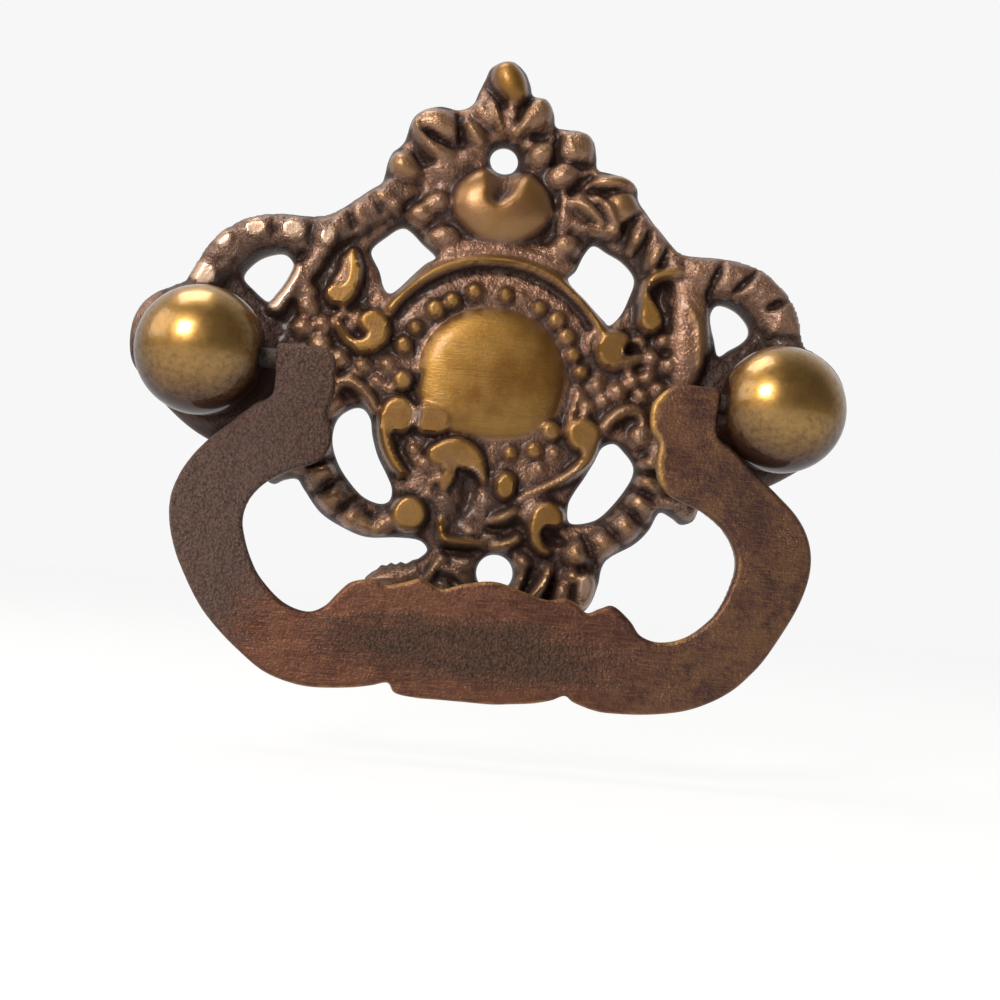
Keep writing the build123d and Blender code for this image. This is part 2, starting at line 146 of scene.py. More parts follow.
def close_sheet(name, sheet, front, back, layers):
    """A closed solid from the sheet: the kept cells become front and back faces, and a wall of quads
    joins the two along every edge that has metal on one side only."""
    used, cell = sheet["used"], sheet["cell"]
    total = int(used.sum())
    number = np.full(used.shape, -1)
    number[used] = np.arange(total)
    flat = np.column_stack([sheet["gx"][used], sheet["gy"][used]])
    points = np.vstack([np.column_stack([flat, front[used]]), np.column_stack([flat, back[used]])])
    corners = (number[:-1, :-1], number[:-1, 1:], number[1:, 1:], number[1:, :-1])
    face = np.stack([c[cell] for c in corners], -1)
    around = np.pad(cell, 1)
    walls = []
    for k, (i, j) in enumerate(((0, 1), (1, 2), (2, 1), (1, 0))):
        open_side = cell & ~around[i : i + cell.shape[0], j : j + cell.shape[1]]
        a, b = corners[k][open_side], corners[(k + 1) % 4][open_side]
        walls.append(np.stack([b, a, a + total, b + total], -1))
    piece = make_piece(name, points, np.vstack([face, face[:, ::-1] + total, *walls]))
    for layer, values in layers.items():
        both = np.zeros(2 * total, np.float32)
        both[:total] = values[used]
        piece.data.attributes.new(layer, "FLOAT", "POINT").data.foreach_set("value", both)
    return piece


def make_piece(name, points, faces):
    """A mesh object from points (x, y, h) and quads; (x, y, h) stands up as (x, -h, y) in metres."""
    mesh = bpy.data.meshes.new(name)
    mesh.vertices.add(len(points))
    upright = np.column_stack([points[:, 0], -points[:, 2], points[:, 1]]) * MM
    mesh.vertices.foreach_set("co", upright.ravel())
    mesh.loops.add(faces.size)
    mesh.loops.foreach_set("vertex_index", faces.astype(np.int32).ravel())
    mesh.polygons.add(len(faces))
    mesh.polygons.foreach_set("loop_start", np.arange(0, faces.size, 4, dtype=np.int32))
    mesh.update(calc_edges=True)
    mesh.validate()
    mesh.shade_smooth()
    mesh.set_sharp_from_angle(angle=CAST_CRISP)
    piece = bpy.data.objects.new(name, mesh)
    bpy.context.scene.collection.objects.link(piece)
    print(name, "has", len(faces), "faces")
    return piece


# %% [markdown]
# ## Carving tools
# Three tools do all the carving. A rib follows a line and changes width and height along it. A
# mound is a bead, a button or a leaf lobe. A cut takes a groove away again. Each only touches the
# part of the grid that it covers. Ribs and mounds are laid over what is there by a soft maximum,
# so that they meet in the small rounded corner that poured metal leaves. Flat tops came later on
# the real plate, from a file. So a filed form is laid a quarter too high here, and the height of
# the file's pass is kept for the end.


# %% Ribs, mounds and cuts
GROUND, HAIR = 1.9, 0.05
SKIRT, OVERFILL, FLAT_FORM, FLAT_RIM = 1.18, 1.25, 5, 0.95


def cover(sheet, points, margin):
    """The block of grid rows and columns that lies within the margin of the points."""
    low, high = points[:, :2].min(0) - margin, points[:, :2].max(0) + margin
    rows = slice(*np.searchsorted(sheet["y"], (low[1], high[1])))
    cols = slice(*np.searchsorted(sheet["x"], (low[0], high[0])))
    return rows, cols


def beside(sheet, line, reach):
    """The block of the grid within reach of a line, each point's distance from the line as a part of
    the line's half width there (third column), and the line's height there (fourth column)."""
    block = cover(sheet, line, reach * line[:, 2].max())
    x, y = sheet["gx"][block], sheet["gy"][block]
    gap, place = nearest_on(line[:-1], np.diff(line, axis=0), x.ravel(), y.ravel())
    q = gap / np.maximum(reach * place[:, 2], HAIR)
    return block, q.reshape(x.shape), place[:, 3].reshape(x.shape)


def lay_over(sheet, block, form, inside, worn, soft=0.22):
    """Soft maximum of the ground and a form: the larger of the two, plus a quarter of the squared
    overlap within the soft band. Where the form wins, its wear is what shows."""
    ground = sheet["level"][block]
    near = np.clip(soft - np.abs(form - ground), 0, None)
    raised = np.maximum(form, ground) + near**2 / (4 * soft)
    won = np.clip((form - ground) / soft, 0, 1) * inside
    sheet["level"][block] = np.where(inside, raised, ground)
    sheet["worn"][block] += (worn - sheet["worn"][block]) * won


def lay_form(sheet, block, q, rise, worn, form, filed):
    """One form of height rise * sqrt(1 - q^form), where q runs from 0 in its middle to 1 at its foot.
    A filed one is a quarter higher with a steep side, and notes the height of its flat."""
    if filed:
        top = np.minimum(sheet["file"][block], GROUND + rise)
        sheet["file"][block] = np.where(q < FLAT_RIM, top, sheet["file"][block])
        rise, form = OVERFILL * rise, FLAT_FORM
    swell = np.sqrt(np.clip(1 - q**form, 0, None))
    lay_over(sheet, block, GROUND + rise * swell, q < 1, worn * swell**0.5)


def rib(sheet, rows, worn=0.4, form=2.0, filed=False):
    """A rib along a line of (x, y, half width, rise): q is the distance from the line as a part of the
    half width, so a form of 2 is half round and 5 is flat on top. A filed rib's width is its flat's."""
    block, q, rise = beside(sheet, fair_line(rows), SKIRT if filed else 1)
    lay_form(sheet, block, q, rise, worn, form, filed)


def mound(sheet, x, y, wide, tall, rise, worn=0.4, form=2.0, turn=0, filed=False):
    """A bead or lobe: an ellipse turned by some degrees, with q the distance from the middle as a part
    of the radius that way."""
    wider = SKIRT if filed else 1
    block = cover(sheet, np.array([[x, y]]), wider * max(wide, tall))
    dx, dy = sheet["gx"][block] - x, sheet["gy"][block] - y
    c, s = np.cos(radians(turn)), np.sin(radians(turn))
    q = np.hypot((c * dx + s * dy) / wide, (c * dy - s * dx) / tall) / wider
    lay_form(sheet, block, q, rise, worn, form, filed)


def cut(sheet, rows, worn=-0.6):
    """A groove along a line of (x, y, half width, depth): takes off depth * (1 - q^2)^2, where q is
    the distance from the line as a part of the half width."""
    block, q, depth = beside(sheet, fair_line(rows), 1)
    bite = (1 - np.clip(q, 0, 1) ** 2) ** 2
    sheet["level"][block] -= depth * bite
    sheet["worn"][block] += (worn - sheet["worn"][block]) * bite


def tumble(sheet, size, seed):
    """Smooth random heights from -1 to 1: random values on a coarse net of the given size, blended
    between the net's corners by the curve 3t^2 - 2t^3."""
    u = (sheet["gx"] - sheet["x"][0]) / size
    v = (sheet["gy"] - sheet["y"][0]) / size
    net = np.random.default_rng(seed).uniform(-1, 1, (int(v.max()) + 2, int(u.max()) + 2))
    i, j = v.astype(int), u.astype(int)
    s, t = v - i, u - j
    s, t = s * s * (3 - 2 * s), t * t * (3 - 2 * t)
    lower = net[i, j] * (1 - t) + net[i, j + 1] * t
    upper = net[i + 1, j] * (1 - t) + net[i + 1, j + 1] * t
    return lower * (1 - s) + upper * s


def soften(field, weight, reach, rounds=3):
    """A blur that stays on the metal: a running mean over the reach, along rows and then columns,
    done a few times, of the field times the weight over the same mean of the weight alone."""

    def mean(grid):
        for axis in (0, 1) * rounds:
            pad = [(reach + 1, reach) if k == axis else (0, 0) for k in (0, 1)]
            total = np.cumsum(np.pad(grid, pad, mode="edge"), axis=axis)
            width = grid.shape[axis]
            upper = np.take(total, np.arange(width) + 2 * reach + 1, axis)
            grid = (upper - np.take(total, np.arange(width), axis)) / (2 * reach + 1)
        return grid

    return mean(field * weight) / np.maximum(mean(weight), 1e-6)


def ramp(value, start, length):
    """Climbs evenly from 0 at the start to 1 a length further on."""
    return np.clip((value - start) / length, 0, 1)


def quarter(gap, radius):
    """Climbs from 0 at the edge to 1 at the radius, along a quarter circle."""
    return np.sqrt(np.clip(1 - (1 - np.clip(gap / radius, 0, 1)) ** 2, 0, None))


# %% [markdown]
# ## The backplate's edge and piercings
# The plate is one casting, a little uneven from side to side because its pattern was carved by
# hand. The edge below goes round clockwise from the tip of the crest. Three windows on each side
# let the drawer front show through: one in the rope loop, one above the boss and one below it. The
# round holes take two fixing pins and the two posts.

# %% Edge and piercings
POST_X, POST_HOLE, PLATE = 31.75, 2.45, 2.2
plate_edge = [
    (-1.2, 39.1), (0.4, 38.1), (1.2, 36.6), (1.6, 35.4), (2.6, 35.1), (3.6, 34.5), (4.3, 33.2), (4.7, 31.9),
    (6.2, 31.7), (8.1, 31.5), (9.2, 30.7), (9.7, 29.0), (10.0, 27.4), (11.6, 27.1), (13.5, 26.7),
    (14.8, 25.6), (15.1, 24.2), (16.2, 22.8), (17.6, 21.2), (19.0, 19.7), (20.4, 18.4), (22.2, 18.2),
    (25.0, 18.3), (27.9, 18.0), (30.2, 17.3), (32.2, 15.8), (34.0, 13.9), (35.0, 11.6), (35.4, 9.8),
    (36.0, 8.8), (37.4, 8.4), (39.1, 7.4), (40.5, 5.9), (41.3, 4.0), (41.4, 1.6), (40.9, -0.9),
    (39.2, -3.4), (36.0, -5.9), (33.0, -7.8), (29.6, -9.2), (26.6, -10.2), (25.2, -11.2), (24.6, -12.6),
    (23.4, -13.1), (22.2, -12.4), (20.7, -12.0), (19.6, -14.2), (18.0, -16.0), (15.4, -17.7), (14.6, -19.0),
    (14.3, -21.2), (13.4, -23.6), (11.6, -25.2), (8.0, -26.2), (3.0, -26.6), (-2.0, -26.3), (-7.0, -25.3),
    (-11.0, -24.2), (-12.2, -22.9), (-11.6, -22.0), (-10.9, -21.5), (-10.5, -21.0), (-9.9, -21.0),
    (-9.4, -20.6), (-8.9, -20.8), (-8.3, -20.4), (-7.8, -20.6), (-7.0, -20.1), (-6.3, -19.8), (-5.5, -18.8),
    (-6.5, -17.8), (-9.0, -17.7), (-12.4, -18.0), (-15.0, -17.3), (-17.9, -15.8), (-20.0, -13.4),
    (-21.0, -12.2), (-22.4, -12.4), (-23.6, -13.0), (-24.7, -12.4), (-25.2, -11.1), (-26.8, -10.1),
    (-29.8, -9.3), (-33.2, -7.8), (-36.2, -5.6), (-39.0, -2.9), (-40.8, -0.8), (-41.4, 1.6), (-41.3, 4.0),
    (-40.5, 6.0), (-39.0, 7.5), (-37.2, 8.4), (-35.8, 8.9), (-35.2, 10.0), (-34.6, 11.4), (-33.5, 13.5),
    (-32.0, 15.3), (-30.0, 16.7), (-28.0, 17.5), (-25.8, 17.9), (-23.0, 18.0), (-21.1, 18.2), (-19.8, 18.8),
    (-18.4, 19.9), (-17.0, 21.1), (-16.0, 22.0), (-14.9, 22.9), (-14.6, 24.1), (-14.4, 25.4), (-14.0, 26.7),
    (-13.2, 27.5), (-12.7, 28.3), (-12.4, 29.6), (-11.9, 31.2), (-10.6, 32.3), (-8.8, 32.8), (-6.8, 32.6),
    (-5.3, 33.4), (-4.7, 35.0), (-4.1, 36.6), (-3.4, 38.2),
]
left_loop = [(-29.5, 10.4), (-28.3, 12.3), (-26.6, 13.3), (-25.0, 13.5), (-23.9, 12.2), (-24.5, 10.2),
             (-25.5, 8.5), (-26.3, 7.7), (-28.0, 8.8)]
right_loop = [(24.7, 11.2), (25.2, 12.7), (26.3, 13.0), (28.0, 12.3), (29.3, 10.9), (29.4, 9.7),
              (28.5, 8.6), (27.2, 7.7), (26.0, 6.9), (25.4, 8.6)]
left_upper = [(-15.3, 15.0), (-13.6, 17.0), (-12.1, 18.1), (-11.0, 17.8), (-9.5, 16.5), (-7.8, 15.0),
              (-9.0, 13.9), (-10.5, 12.2), (-11.6, 10.9), (-12.6, 10.1), (-13.4, 10.7), (-14.1, 12.6)]
right_upper = [(7.7, 13.8), (8.6, 15.3), (9.4, 17.3), (10.4, 18.5), (12.0, 17.8), (14.0, 16.8),
               (15.5, 15.0), (15.0, 12.5), (14.2, 10.5), (13.0, 9.1), (12.2, 9.6), (10.0, 11.6)]
left_lower = [(-14.4, -3.4), (-15.8, -3.6), (-17.2, -5.0), (-17.5, -7.4), (-16.6, -9.9), (-15.0, -12.0),
              (-13.3, -13.5), (-11.4, -14.1), (-10.3, -13.6), (-10.2, -12.2), (-11.0, -10.6),
              (-12.2, -8.6), (-13.0, -6.4), (-13.4, -4.6)]
right_lower = [(14.8, -4.5), (16.0, -5.3), (17.2, -6.7), (17.3, -8.0), (16.5, -9.8), (15.0, -12.0),
               (13.5, -13.5), (11.5, -14.2), (10.3, -14.0), (10.1, -12.2), (10.6, -10.8), (11.6, -9.0),
               (12.6, -7.0), (13.4, -5.2)]
top_pin, bottom_pin = (-1.0, 27.3, 1.65), (2.4, -20.7, 2.1)
piercings = [left_loop, right_loop, left_upper, right_upper, left_lower, right_lower]
plate_edges = [fair_line(edge, closed=True) for edge in (plate_edge, *piercings)]
post_holes = [(-POST_X, 0, POST_HOLE), (POST_X, 0, POST_HOLE)]
plate_edges += [round_line(*hole) for hole in (top_pin, bottom_pin, *post_holes)]
STEP = 0.265
plate = lay_sheet(plate_edges, STEP, GROUND)

# %% [markdown]
# ## Rope loops and struts
# A rope runs round each loop opening and on down the slope to the crest. On a mould it would be
# pressed with a gouge, one stroke to each strand. So it is a half-round rib first, then a row of
# knobs on its back, then slanting cuts between them.

# %% Rope loops
# The left rope gets lower wear than the right, so it is painted darker: partly its own dirt, partly painted
# shade.
rib(plate, [(-35.3, 6.0, 2.5, 1.4), (-33.9, 9.6, 2.8, 1.9), (-32.0, 12.8, 2.9, 2.0),
            (-29.2, 14.9, 2.9, 2.0), (-25.8, 15.7, 2.8, 2.0), (-22.2, 16.0, 2.6, 1.8),
            (-19.0, 17.4, 2.4, 1.6), (-15.7, 19.8, 2.3, 1.5), (-13.3, 21.5, 2.1, 1.3)], worn=-0.8, form=2.2)
rib(plate, [(35.2, 6.0, 2.5, 1.4), (33.9, 9.6, 2.8, 1.9), (32.2, 12.8, 2.9, 2.0), (29.4, 15.0, 2.9, 2.0),
            (26.0, 15.8, 2.8, 2.0), (22.4, 16.0, 2.6, 1.8), (19.2, 17.0, 2.4, 1.5), (16.3, 19.3, 2.3, 1.4),
            (14.3, 21.2, 2.1, 1.2)], worn=-0.3, form=2.2)
for x, y, wide, tall, turn, rise in (
    (-33.7, 9.7, 1.7, 1.15, -25, 1.95), (-31.7, 13.7, 0.75, 0.95, -20, 2.15),
    (-28.3, 15.5, 1.05, 0.95, 15, 2.2), (-24.0, 15.8, 1.25, 1.15, 10, 2.15),
    (-20.1, 15.4, 0.8, 1.1, -15, 1.9),
):
    mound(plate, x, y, wide, tall, rise, worn=0.3, turn=turn, filed=True)
for x, y, wide, tall, turn, rise in (
    (-17.0, 18.5, 1.2, 1.6, 40, 2.0), (-19.2, 17.3, 1.0, 1.5, -30, 1.8), (-14.4, 20.8, 1.4, 1.0, -10, 2.0),
    (-13.0, 19.9, 0.9, 0.9, 0, 1.8), (-15.4, 19.6, 0.7, 1.0, 30, 1.8), (22.6, 15.8, 1.9, 1.5, 10, 2.1),
    (26.0, 15.6, 1.2, 1.9, -8, 2.2), (28.9, 14.8, 1.7, 1.5, 30, 2.1), (32.4, 11.2, 1.6, 1.5, 40, 2.1),
    (15.1, 19.1, 1.0, 1.7, -28, 2.3), (17.4, 17.2, 1.0, 1.8, -30, 2.2),
):
    mound(plate, x, y, wide, tall, rise, worn=0.3, form=2.6, turn=turn)
for rows in (
    [(29.9, 13.5, 0.35, 2.1), (30.0, 14.6, 0.4, 2.35), (30.0, 15.7, 0.3, 2.1)],
    [(31.4, 9.8, 0.35, 2.1), (32.2, 11.0, 0.45, 2.35), (33.0, 12.3, 0.35, 2.1)],
    [(26.0, 13.8, 0.3, 2.1), (25.9, 15.4, 0.35, 2.3), (26.0, 16.8, 0.3, 1.9)],
    [(15.5, 20.0, 0.4, 2.3), (15.0, 18.9, 0.45, 2.5), (14.6, 17.9, 0.35, 2.0)],
    [(17.9, 18.3, 0.4, 2.2), (17.3, 17.1, 0.45, 2.4), (16.7, 15.9, 0.35, 1.9)],
):
    rib(plate, rows, worn=0.5)
for x0, y0, x1, y1, depth in (
    (-35.2, 11.6, -31.8, 11.2, 0.4), (-31.4, 15.8, -29.4, 13.4, 0.4), (-26.4, 17.6, -26.2, 14.2, 0.5),
    (-21.9, 17.8, -22.2, 14.4, 0.5), (-18.2, 19.6, -17.4, 17.0, 0.6), (-15.8, 21.0, -14.4, 18.8, 0.5),
    (25.1, 17.2, 23.5, 12.4, 0.9), (29.3, 16.8, 26.8, 14.0, 0.9), (33.6, 14.0, 30.8, 12.6, 0.9),
    (34.6, 9.6, 31.6, 9.0, 0.4), (20.6, 16.8, 21.4, 13.2, 0.8), (16.6, 20.2, 15.4, 17.2, 0.8),
    (18.7, 18.4, 17.9, 15.8, 0.7), (13.6, 21.2, 14.0, 18.6, 0.7),
):
    cut(plate, [(x0, y0, 0.5, depth), ((x0 + x1) / 2, (y0 + y1) / 2, 0.6, 1.2 * depth),
                (x1, y1, 0.5, depth)])
rib(plate, [(-19.4, 16.6, 1.1, 1.3), (-20.8, 14.0, 1.3, 1.4), (-22.2, 11.2, 1.2, 1.4),
            (-23.6, 8.6, 1.1, 1.3)], worn=-0.3)
rib(plate, [(-23.4, 11.4, 0.7, 1.7), (-24.3, 9.2, 0.95, 1.75),
            (-25.2, 7.0, 0.9, 1.7)], worn=0.25, filed=True)
rib(plate, [(21.2, 14.6, 1.6, 1.3), (22.0, 12.2, 2.2, 1.5), (22.2, 9.2, 2.4, 1.6), (22.3, 6.4, 2.3, 1.5),
            (22.2, 4.0, 1.8, 1.1)], worn=0.2, form=2.6)
rib(plate, [(21.6, 12.0, 0.6, 1.8), (22.8, 10.0, 0.7, 1.95), (23.3, 7.6, 0.7, 1.9),
            (23.5, 5.0, 0.6, 1.6)], worn=0.45)
print("rope stands", round(float(plate["level"].max()), 2), "mm above the back")

# %% [markdown]
# ## Boss, beads and arch
# The plain boss in the middle was scraped smooth, and hands have kept it bright. It is oval above
# and squarer below, most of all at the lower left. So the power of its oval grows from 2 downwards.
# A ring of beads and an arch frame it. The beads were filed level when the casting was cleaned,
# which is why their form is flat on top.

# %% Boss, beads and arch
plate_x, plate_y = plate["gx"], plate["gy"]
BOSS_X, BOSS_Y, BOSS_WIDE, BOSS_TALL = -0.15, 1.9, 8.6, 7.8
power = 2 + ramp(-plate_y, -BOSS_Y, 4.0) * np.where(plate_x < 0, 1.7, 0.5)
across, along = np.abs(plate_x - BOSS_X) / BOSS_WIDE, np.abs(plate_y - BOSS_Y) / BOSS_TALL
boss = (across**power + along**power) ** (1 / power)
boss_level = PLATE + 0.45 * (1 - boss**2) + 1.0 * (1 - boss**8)
for x, y, wide, tall, rise in (
    (-0.2, 2.0, 17.0, 13.5, 0.35), (-0.6, 25.0, 12.5, 10.5, 0.25), (0.2, -11.0, 9.0, 14.0, 0.4),
):
    mound(plate, x, y, wide, tall, rise, worn=0.12, form=5)
everywhere = (slice(None), slice(None))
lay_over(plate, everywhere, boss_level, boss < 1, np.clip(3.0 - 2.4 * boss, 0, 1))
ARCH_X, ARCH_Y = -0.2, 0.9


def arch(radius, half_width, rise):
    """Rows of a rib or cut along an arc from 30 to 150 degrees about the arch's middle."""
    turn = np.radians(np.linspace(30, 150, 17))
    x, y = ARCH_X + radius * np.cos(turn), ARCH_Y + radius * np.sin(turn)
    return np.column_stack([x, y, np.full(17, half_width), np.full(17, rise)])


rib(plate, arch(15.4, 1.5, 0.8), worn=0.15, form=3)
rib(plate, arch(14.0, 0.75, 1.7), worn=0.7)
cut(plate, arch(13.0, 0.7, 0.35))
rib(plate, [(-6.2, 15.2, 0.6, 1.1), (-3.0, 16.0, 0.7, 1.2), (0.2, 16.2, 0.7, 1.2), (3.4, 15.9, 0.7, 1.2),
            (6.2, 15.0, 0.6, 1.1)], worn=0.15)
flat_beads = [
    (-10.4, 4.0, 1.0), (-9.3, 6.2, 0.8), (-7.2, 8.5, 1.1), (-5.4, 9.7, 0.9), (-3.0, 11.0, 0.9),
    (0.6, 11.0, 0.85), (4.6, 9.9, 0.85), (6.7, 8.7, 1.0), (8.0, 6.9, 0.95), (8.9, 4.9, 0.85),
    (10.0, 3.0, 0.85), (7.2, -4.1, 1.1), (5.5, -6.5, 0.95), (2.8, -7.1, 0.8), (-10.1, 0.0, 1.15),
]
beads = [
    (2.3, 11.1, 0.65), (10.0, 0.6, 0.8), (6.3, -8.5, 0.8), (7.8, -6.5, 0.9), (-8.1, -7.6, 0.85),
    (-7.0, -9.1, 0.8), (-12.0, 1.7, 1.15), (-14.8, 1.2, 1.1), (-13.0, -0.3, 0.85), (-17.5, 1.7, 1.3),
    (-21.6, 7.4, 1.3), (-22.0, 4.9, 1.3), (-19.8, 3.2, 1.4), (-21.8, 9.1, 1.1), (-19.8, 5.5, 1.2),
    (12.0, 1.7, 1.0), (14.5, 1.3, 1.2), (16.0, 2.6, 1.1), (17.8, 3.3, 1.0), (18.0, 5.5, 1.1),
    (20.2, 4.9, 1.1), (16.4, 7.2, 0.9), (19.2, 7.7, 1.0), (13.0, 0.1, 0.8), (-16.0, -0.2, 0.9),
    (-14.1, -1.4, 0.7), (11.4, -0.8, 0.8), (-17.6, 7.2, 0.7), (15.4, 3.9, 0.7), (17.2, 1.0, 0.9),
    (-11.5, -1.1, 0.7), (19.2, 2.0, 0.8), (-18.4, -0.2, 0.8),
]
FLAT_PART = 0.88
for x, y, radius in flat_beads:
    mound(plate, x, y, FLAT_PART * radius, FLAT_PART * radius, 1.5, worn=0.6, filed=True)
for x, y, radius in beads:
    mound(plate, x, y, radius, radius, 0.75 + 0.45 * radius, worn=0.25)
print(len(flat_beads) + len(beads), "beads laid")

# %% [markdown]
# ## Scrolls and teardrops beside the boss
# C-scrolls with flat eyes are the common stock of this style. Each is a rib that winds round a
# button. The eye is a mound with a flat top, where the file took the dark skin off.

# %% Upper scrolls
mound(plate, -14.1, 6.2, 1.5, 1.35, 1.75, worn=0.7, filed=True)
rib(plate, [(-13.4, 6.2, 1.05, 1.75), (-13.3, 4.9, 1.1, 1.75), (-14.1, 3.8, 0.95, 1.75),
            (-15.4, 3.3, 0.7, 1.7)], worn=0.7, filed=True)
rib(plate, [(-14.8, 3.5, 0.9, 1.75), (-16.2, 3.7, 0.75, 1.65), (-17.5, 4.8, 0.6, 1.5),
            (-18.3, 6.4, 0.45, 1.1)], worn=0.6)
mound(plate, -16.1, 6.4, 1.0, 1.6, 0.9, worn=0.15, turn=-20)
mound(plate, 13.2, 5.9, 1.65, 2.0, 1.75, worn=0.7, filed=True)
rib(plate, [(13.6, 7.2, 0.7, 1.75), (14.6, 7.3, 0.6, 1.7)], worn=0.6, filed=True)
rib(plate, [(13.6, 4.3, 0.9, 1.7), (15.0, 4.7, 0.95, 1.6), (16.4, 5.3, 0.7, 1.3)], worn=0.3)
cut(plate, [(16.2, 6.6, 0.7, 0.9), (15.2, 6.1, 0.6, 1.1), (14.6, 5.7, 0.4, 0.7)])
rib(plate, [(12.4, 8.4, 0.6, 1.2), (10.9, 7.4, 0.7, 1.3), (10.5, 5.8, 0.6, 1.1)], worn=0.25)
rib(plate, [(-17.2, 14.0, 0.45, 1.6), (-16.7, 12.2, 0.65, 1.8), (-16.9, 10.3, 0.8, 1.85),
            (-17.7, 9.0, 1.0, 1.85), (-18.6, 9.0, 1.1, 1.85)], worn=0.7, filed=True)
rib(plate, [(-18.6, 10.4, 0.8, 1.4), (-17.9, 11.8, 0.8, 1.4), (-17.8, 13.2, 0.8, 1.5)], worn=0.25)
mound(plate, 17.4, 9.7, 1.25, 1.25, 1.9, worn=0.7, filed=True)
rib(plate, [(17.3, 10.4, 1.15, 1.9), (16.9, 11.5, 0.8, 1.9), (16.6, 12.5, 0.5, 1.85)], worn=0.7, filed=True)
rib(plate, [(16.6, 12.6, 0.5, 1.85), (16.7, 13.7, 0.55, 1.85), (17.6, 14.9, 0.8, 1.85),
            (19.2, 15.5, 0.95, 1.9), (20.3, 15.9, 0.9, 1.9)], worn=0.6)
cut(plate, [(18.8, 13.9, 0.9, 0.8), (18.5, 12.5, 0.9, 0.9), (19.2, 11.2, 0.7, 0.6)])
print("worn tops cover", round(float((plate["worn"] > 0.55).mean()), 3), "of the sheet")

# %% [markdown]
# ## The horseshoe and the crest
# Under the top pin hole sits a plump horseshoe, and leaves fan out around the hole. A leaf is a few
# long mounds with a raised vein on each. The gouge cuts between them are what make it read as a
# leaf, so each has its own cut.

# %% Horseshoe and leaves
mound(plate, -0.8, 21.4, 5.9, 4.75, 2.55, worn=0.62, form=2.8)
cut(plate, [(-0.6, 27.0, 3.2, 1.7), (-0.7, 25.0, 2.9, 1.7), (-0.9, 23.2, 2.3, 1.6),
            (-1.3, 22.2, 1.6, 1.3)], worn=0.15)
lobes = [
    (-1.2, 36.0, 3.0, 1.95, -62, 2.1, 0.85), (-3.8, 32.0, 2.0, 1.0, -52, 1.2, 0.15),
    (-0.8, 31.9, 2.3, 0.9, -80, 1.3, 0.2), (2.2, 32.5, 3.0, 1.75, 52, 1.8, 0.25),
    (-9.1, 30.1, 3.0, 1.9, -12, 1.8, 0.3), (-8.9, 27.3, 3.4, 1.5, -36, 1.6, 0.25),
    (-4.6, 29.2, 2.0, 1.2, -52, 1.5, 0.25), (7.2, 29.2, 2.5, 2.2, 60, 1.6, 0.2),
    (5.9, 25.8, 2.1, 1.6, 45, 1.6, 0.25), (3.2, 27.9, 1.9, 1.5, 45, 1.6, 0.25),
    (11.9, 25.4, 2.9, 1.1, 5, 1.6, 0.45), (13.0, 22.8, 2.0, 2.2, 20, 1.6, 0.5),
    (9.4, 22.2, 2.9, 1.5, -30, 1.6, 0.35), (11.4, 21.6, 3.0, 1.2, -48, 1.6, 0.4),
    (-12.4, 24.7, 2.2, 1.6, -30, 1.9, 0.4), (-7.2, 17.0, 2.1, 1.4, 15, 1.6, 0.2),
    (-9.9, 19.4, 1.7, 1.4, 20, 1.6, 0.3), (-8.4, 20.9, 1.7, 1.3, 20, 1.5, 0.2),
    (-8.0, 25.0, 2.0, 1.1, 0, 1.1, 0.1), (-12.2, 21.9, 1.6, 1.1, 10, 1.1, 0.15),
    (7.0, 17.5, 1.7, 1.4, 10, 1.7, 0.3), (6.3, 20.8, 1.4, 1.9, 0, 1.2, 0.15),
    (5.4, 16.3, 2.0, 0.9, -25, 1.0, 0.1), (8.0, 20.2, 1.2, 0.9, -30, 1.0, 0.15),
    (-5.6, 26.6, 1.6, 0.9, 30, 1.0, 0.1), (6.6, 22.8, 1.2, 1.2, 0, 1.1, 0.15),
]
for x, y, wide, tall, turn, rise, worn in lobes:
    mound(plate, x, y, wide, tall, rise, worn=worn, form=2.2, turn=turn)
for rows in (
    [(-3.0, 33.2, 0.4, 1.7), (-2.5, 32.0, 0.55, 2.0), (-1.9, 30.6, 0.5, 1.8), (-1.5, 29.8, 0.4, 1.3)],
    [(2.5, 33.0, 0.5, 1.9), (1.4, 31.5, 0.6, 2.1), (0.6, 30.4, 0.6, 2.0), (-0.1, 29.6, 0.45, 1.5)],
    [(-11.6, 29.9, 0.75, 2.1), (-10.6, 28.4, 0.7, 2.15), (-9.6, 27.2, 0.65, 2.1), (-8.4, 26.4, 0.6, 1.9)],
    [(-5.8, 30.4, 0.55, 1.9), (-4.8, 29.4, 0.65, 2.1), (-4.0, 28.2, 0.5, 1.7)],
    [(6.0, 30.0, 0.5, 1.8), (6.6, 28.8, 0.5, 2.0), (6.8, 27.7, 0.4, 1.7)],
    [(7.4, 30.3, 0.4, 1.8), (7.3, 29.0, 0.4, 1.9), (7.0, 27.9, 0.35, 1.7)],
    [(6.6, 26.4, 0.5, 1.8), (5.9, 25.4, 0.6, 1.95), (5.3, 24.6, 0.5, 1.6)],
    [(2.6, 27.6, 0.5, 1.8), (3.4, 27.9, 0.6, 2.0), (4.1, 28.5, 0.5, 1.8)],
    [(7.4, 22.6, 0.5, 1.7), (8.7, 22.2, 0.65, 2.1), (9.8, 21.4, 0.65, 2.1), (10.8, 20.5, 0.5, 1.7)],
    [(10.0, 23.4, 0.45, 1.8), (11.2, 22.6, 0.6, 2.1), (12.0, 21.4, 0.6, 2.05), (12.5, 20.2, 0.45, 1.6)],
    [(9.0, 19.9, 0.4, 1.4), (11.0, 19.6, 0.5, 1.6), (12.8, 19.6, 0.45, 1.5)],
):
    rib(plate, rows, worn=0.35, form=1.4)
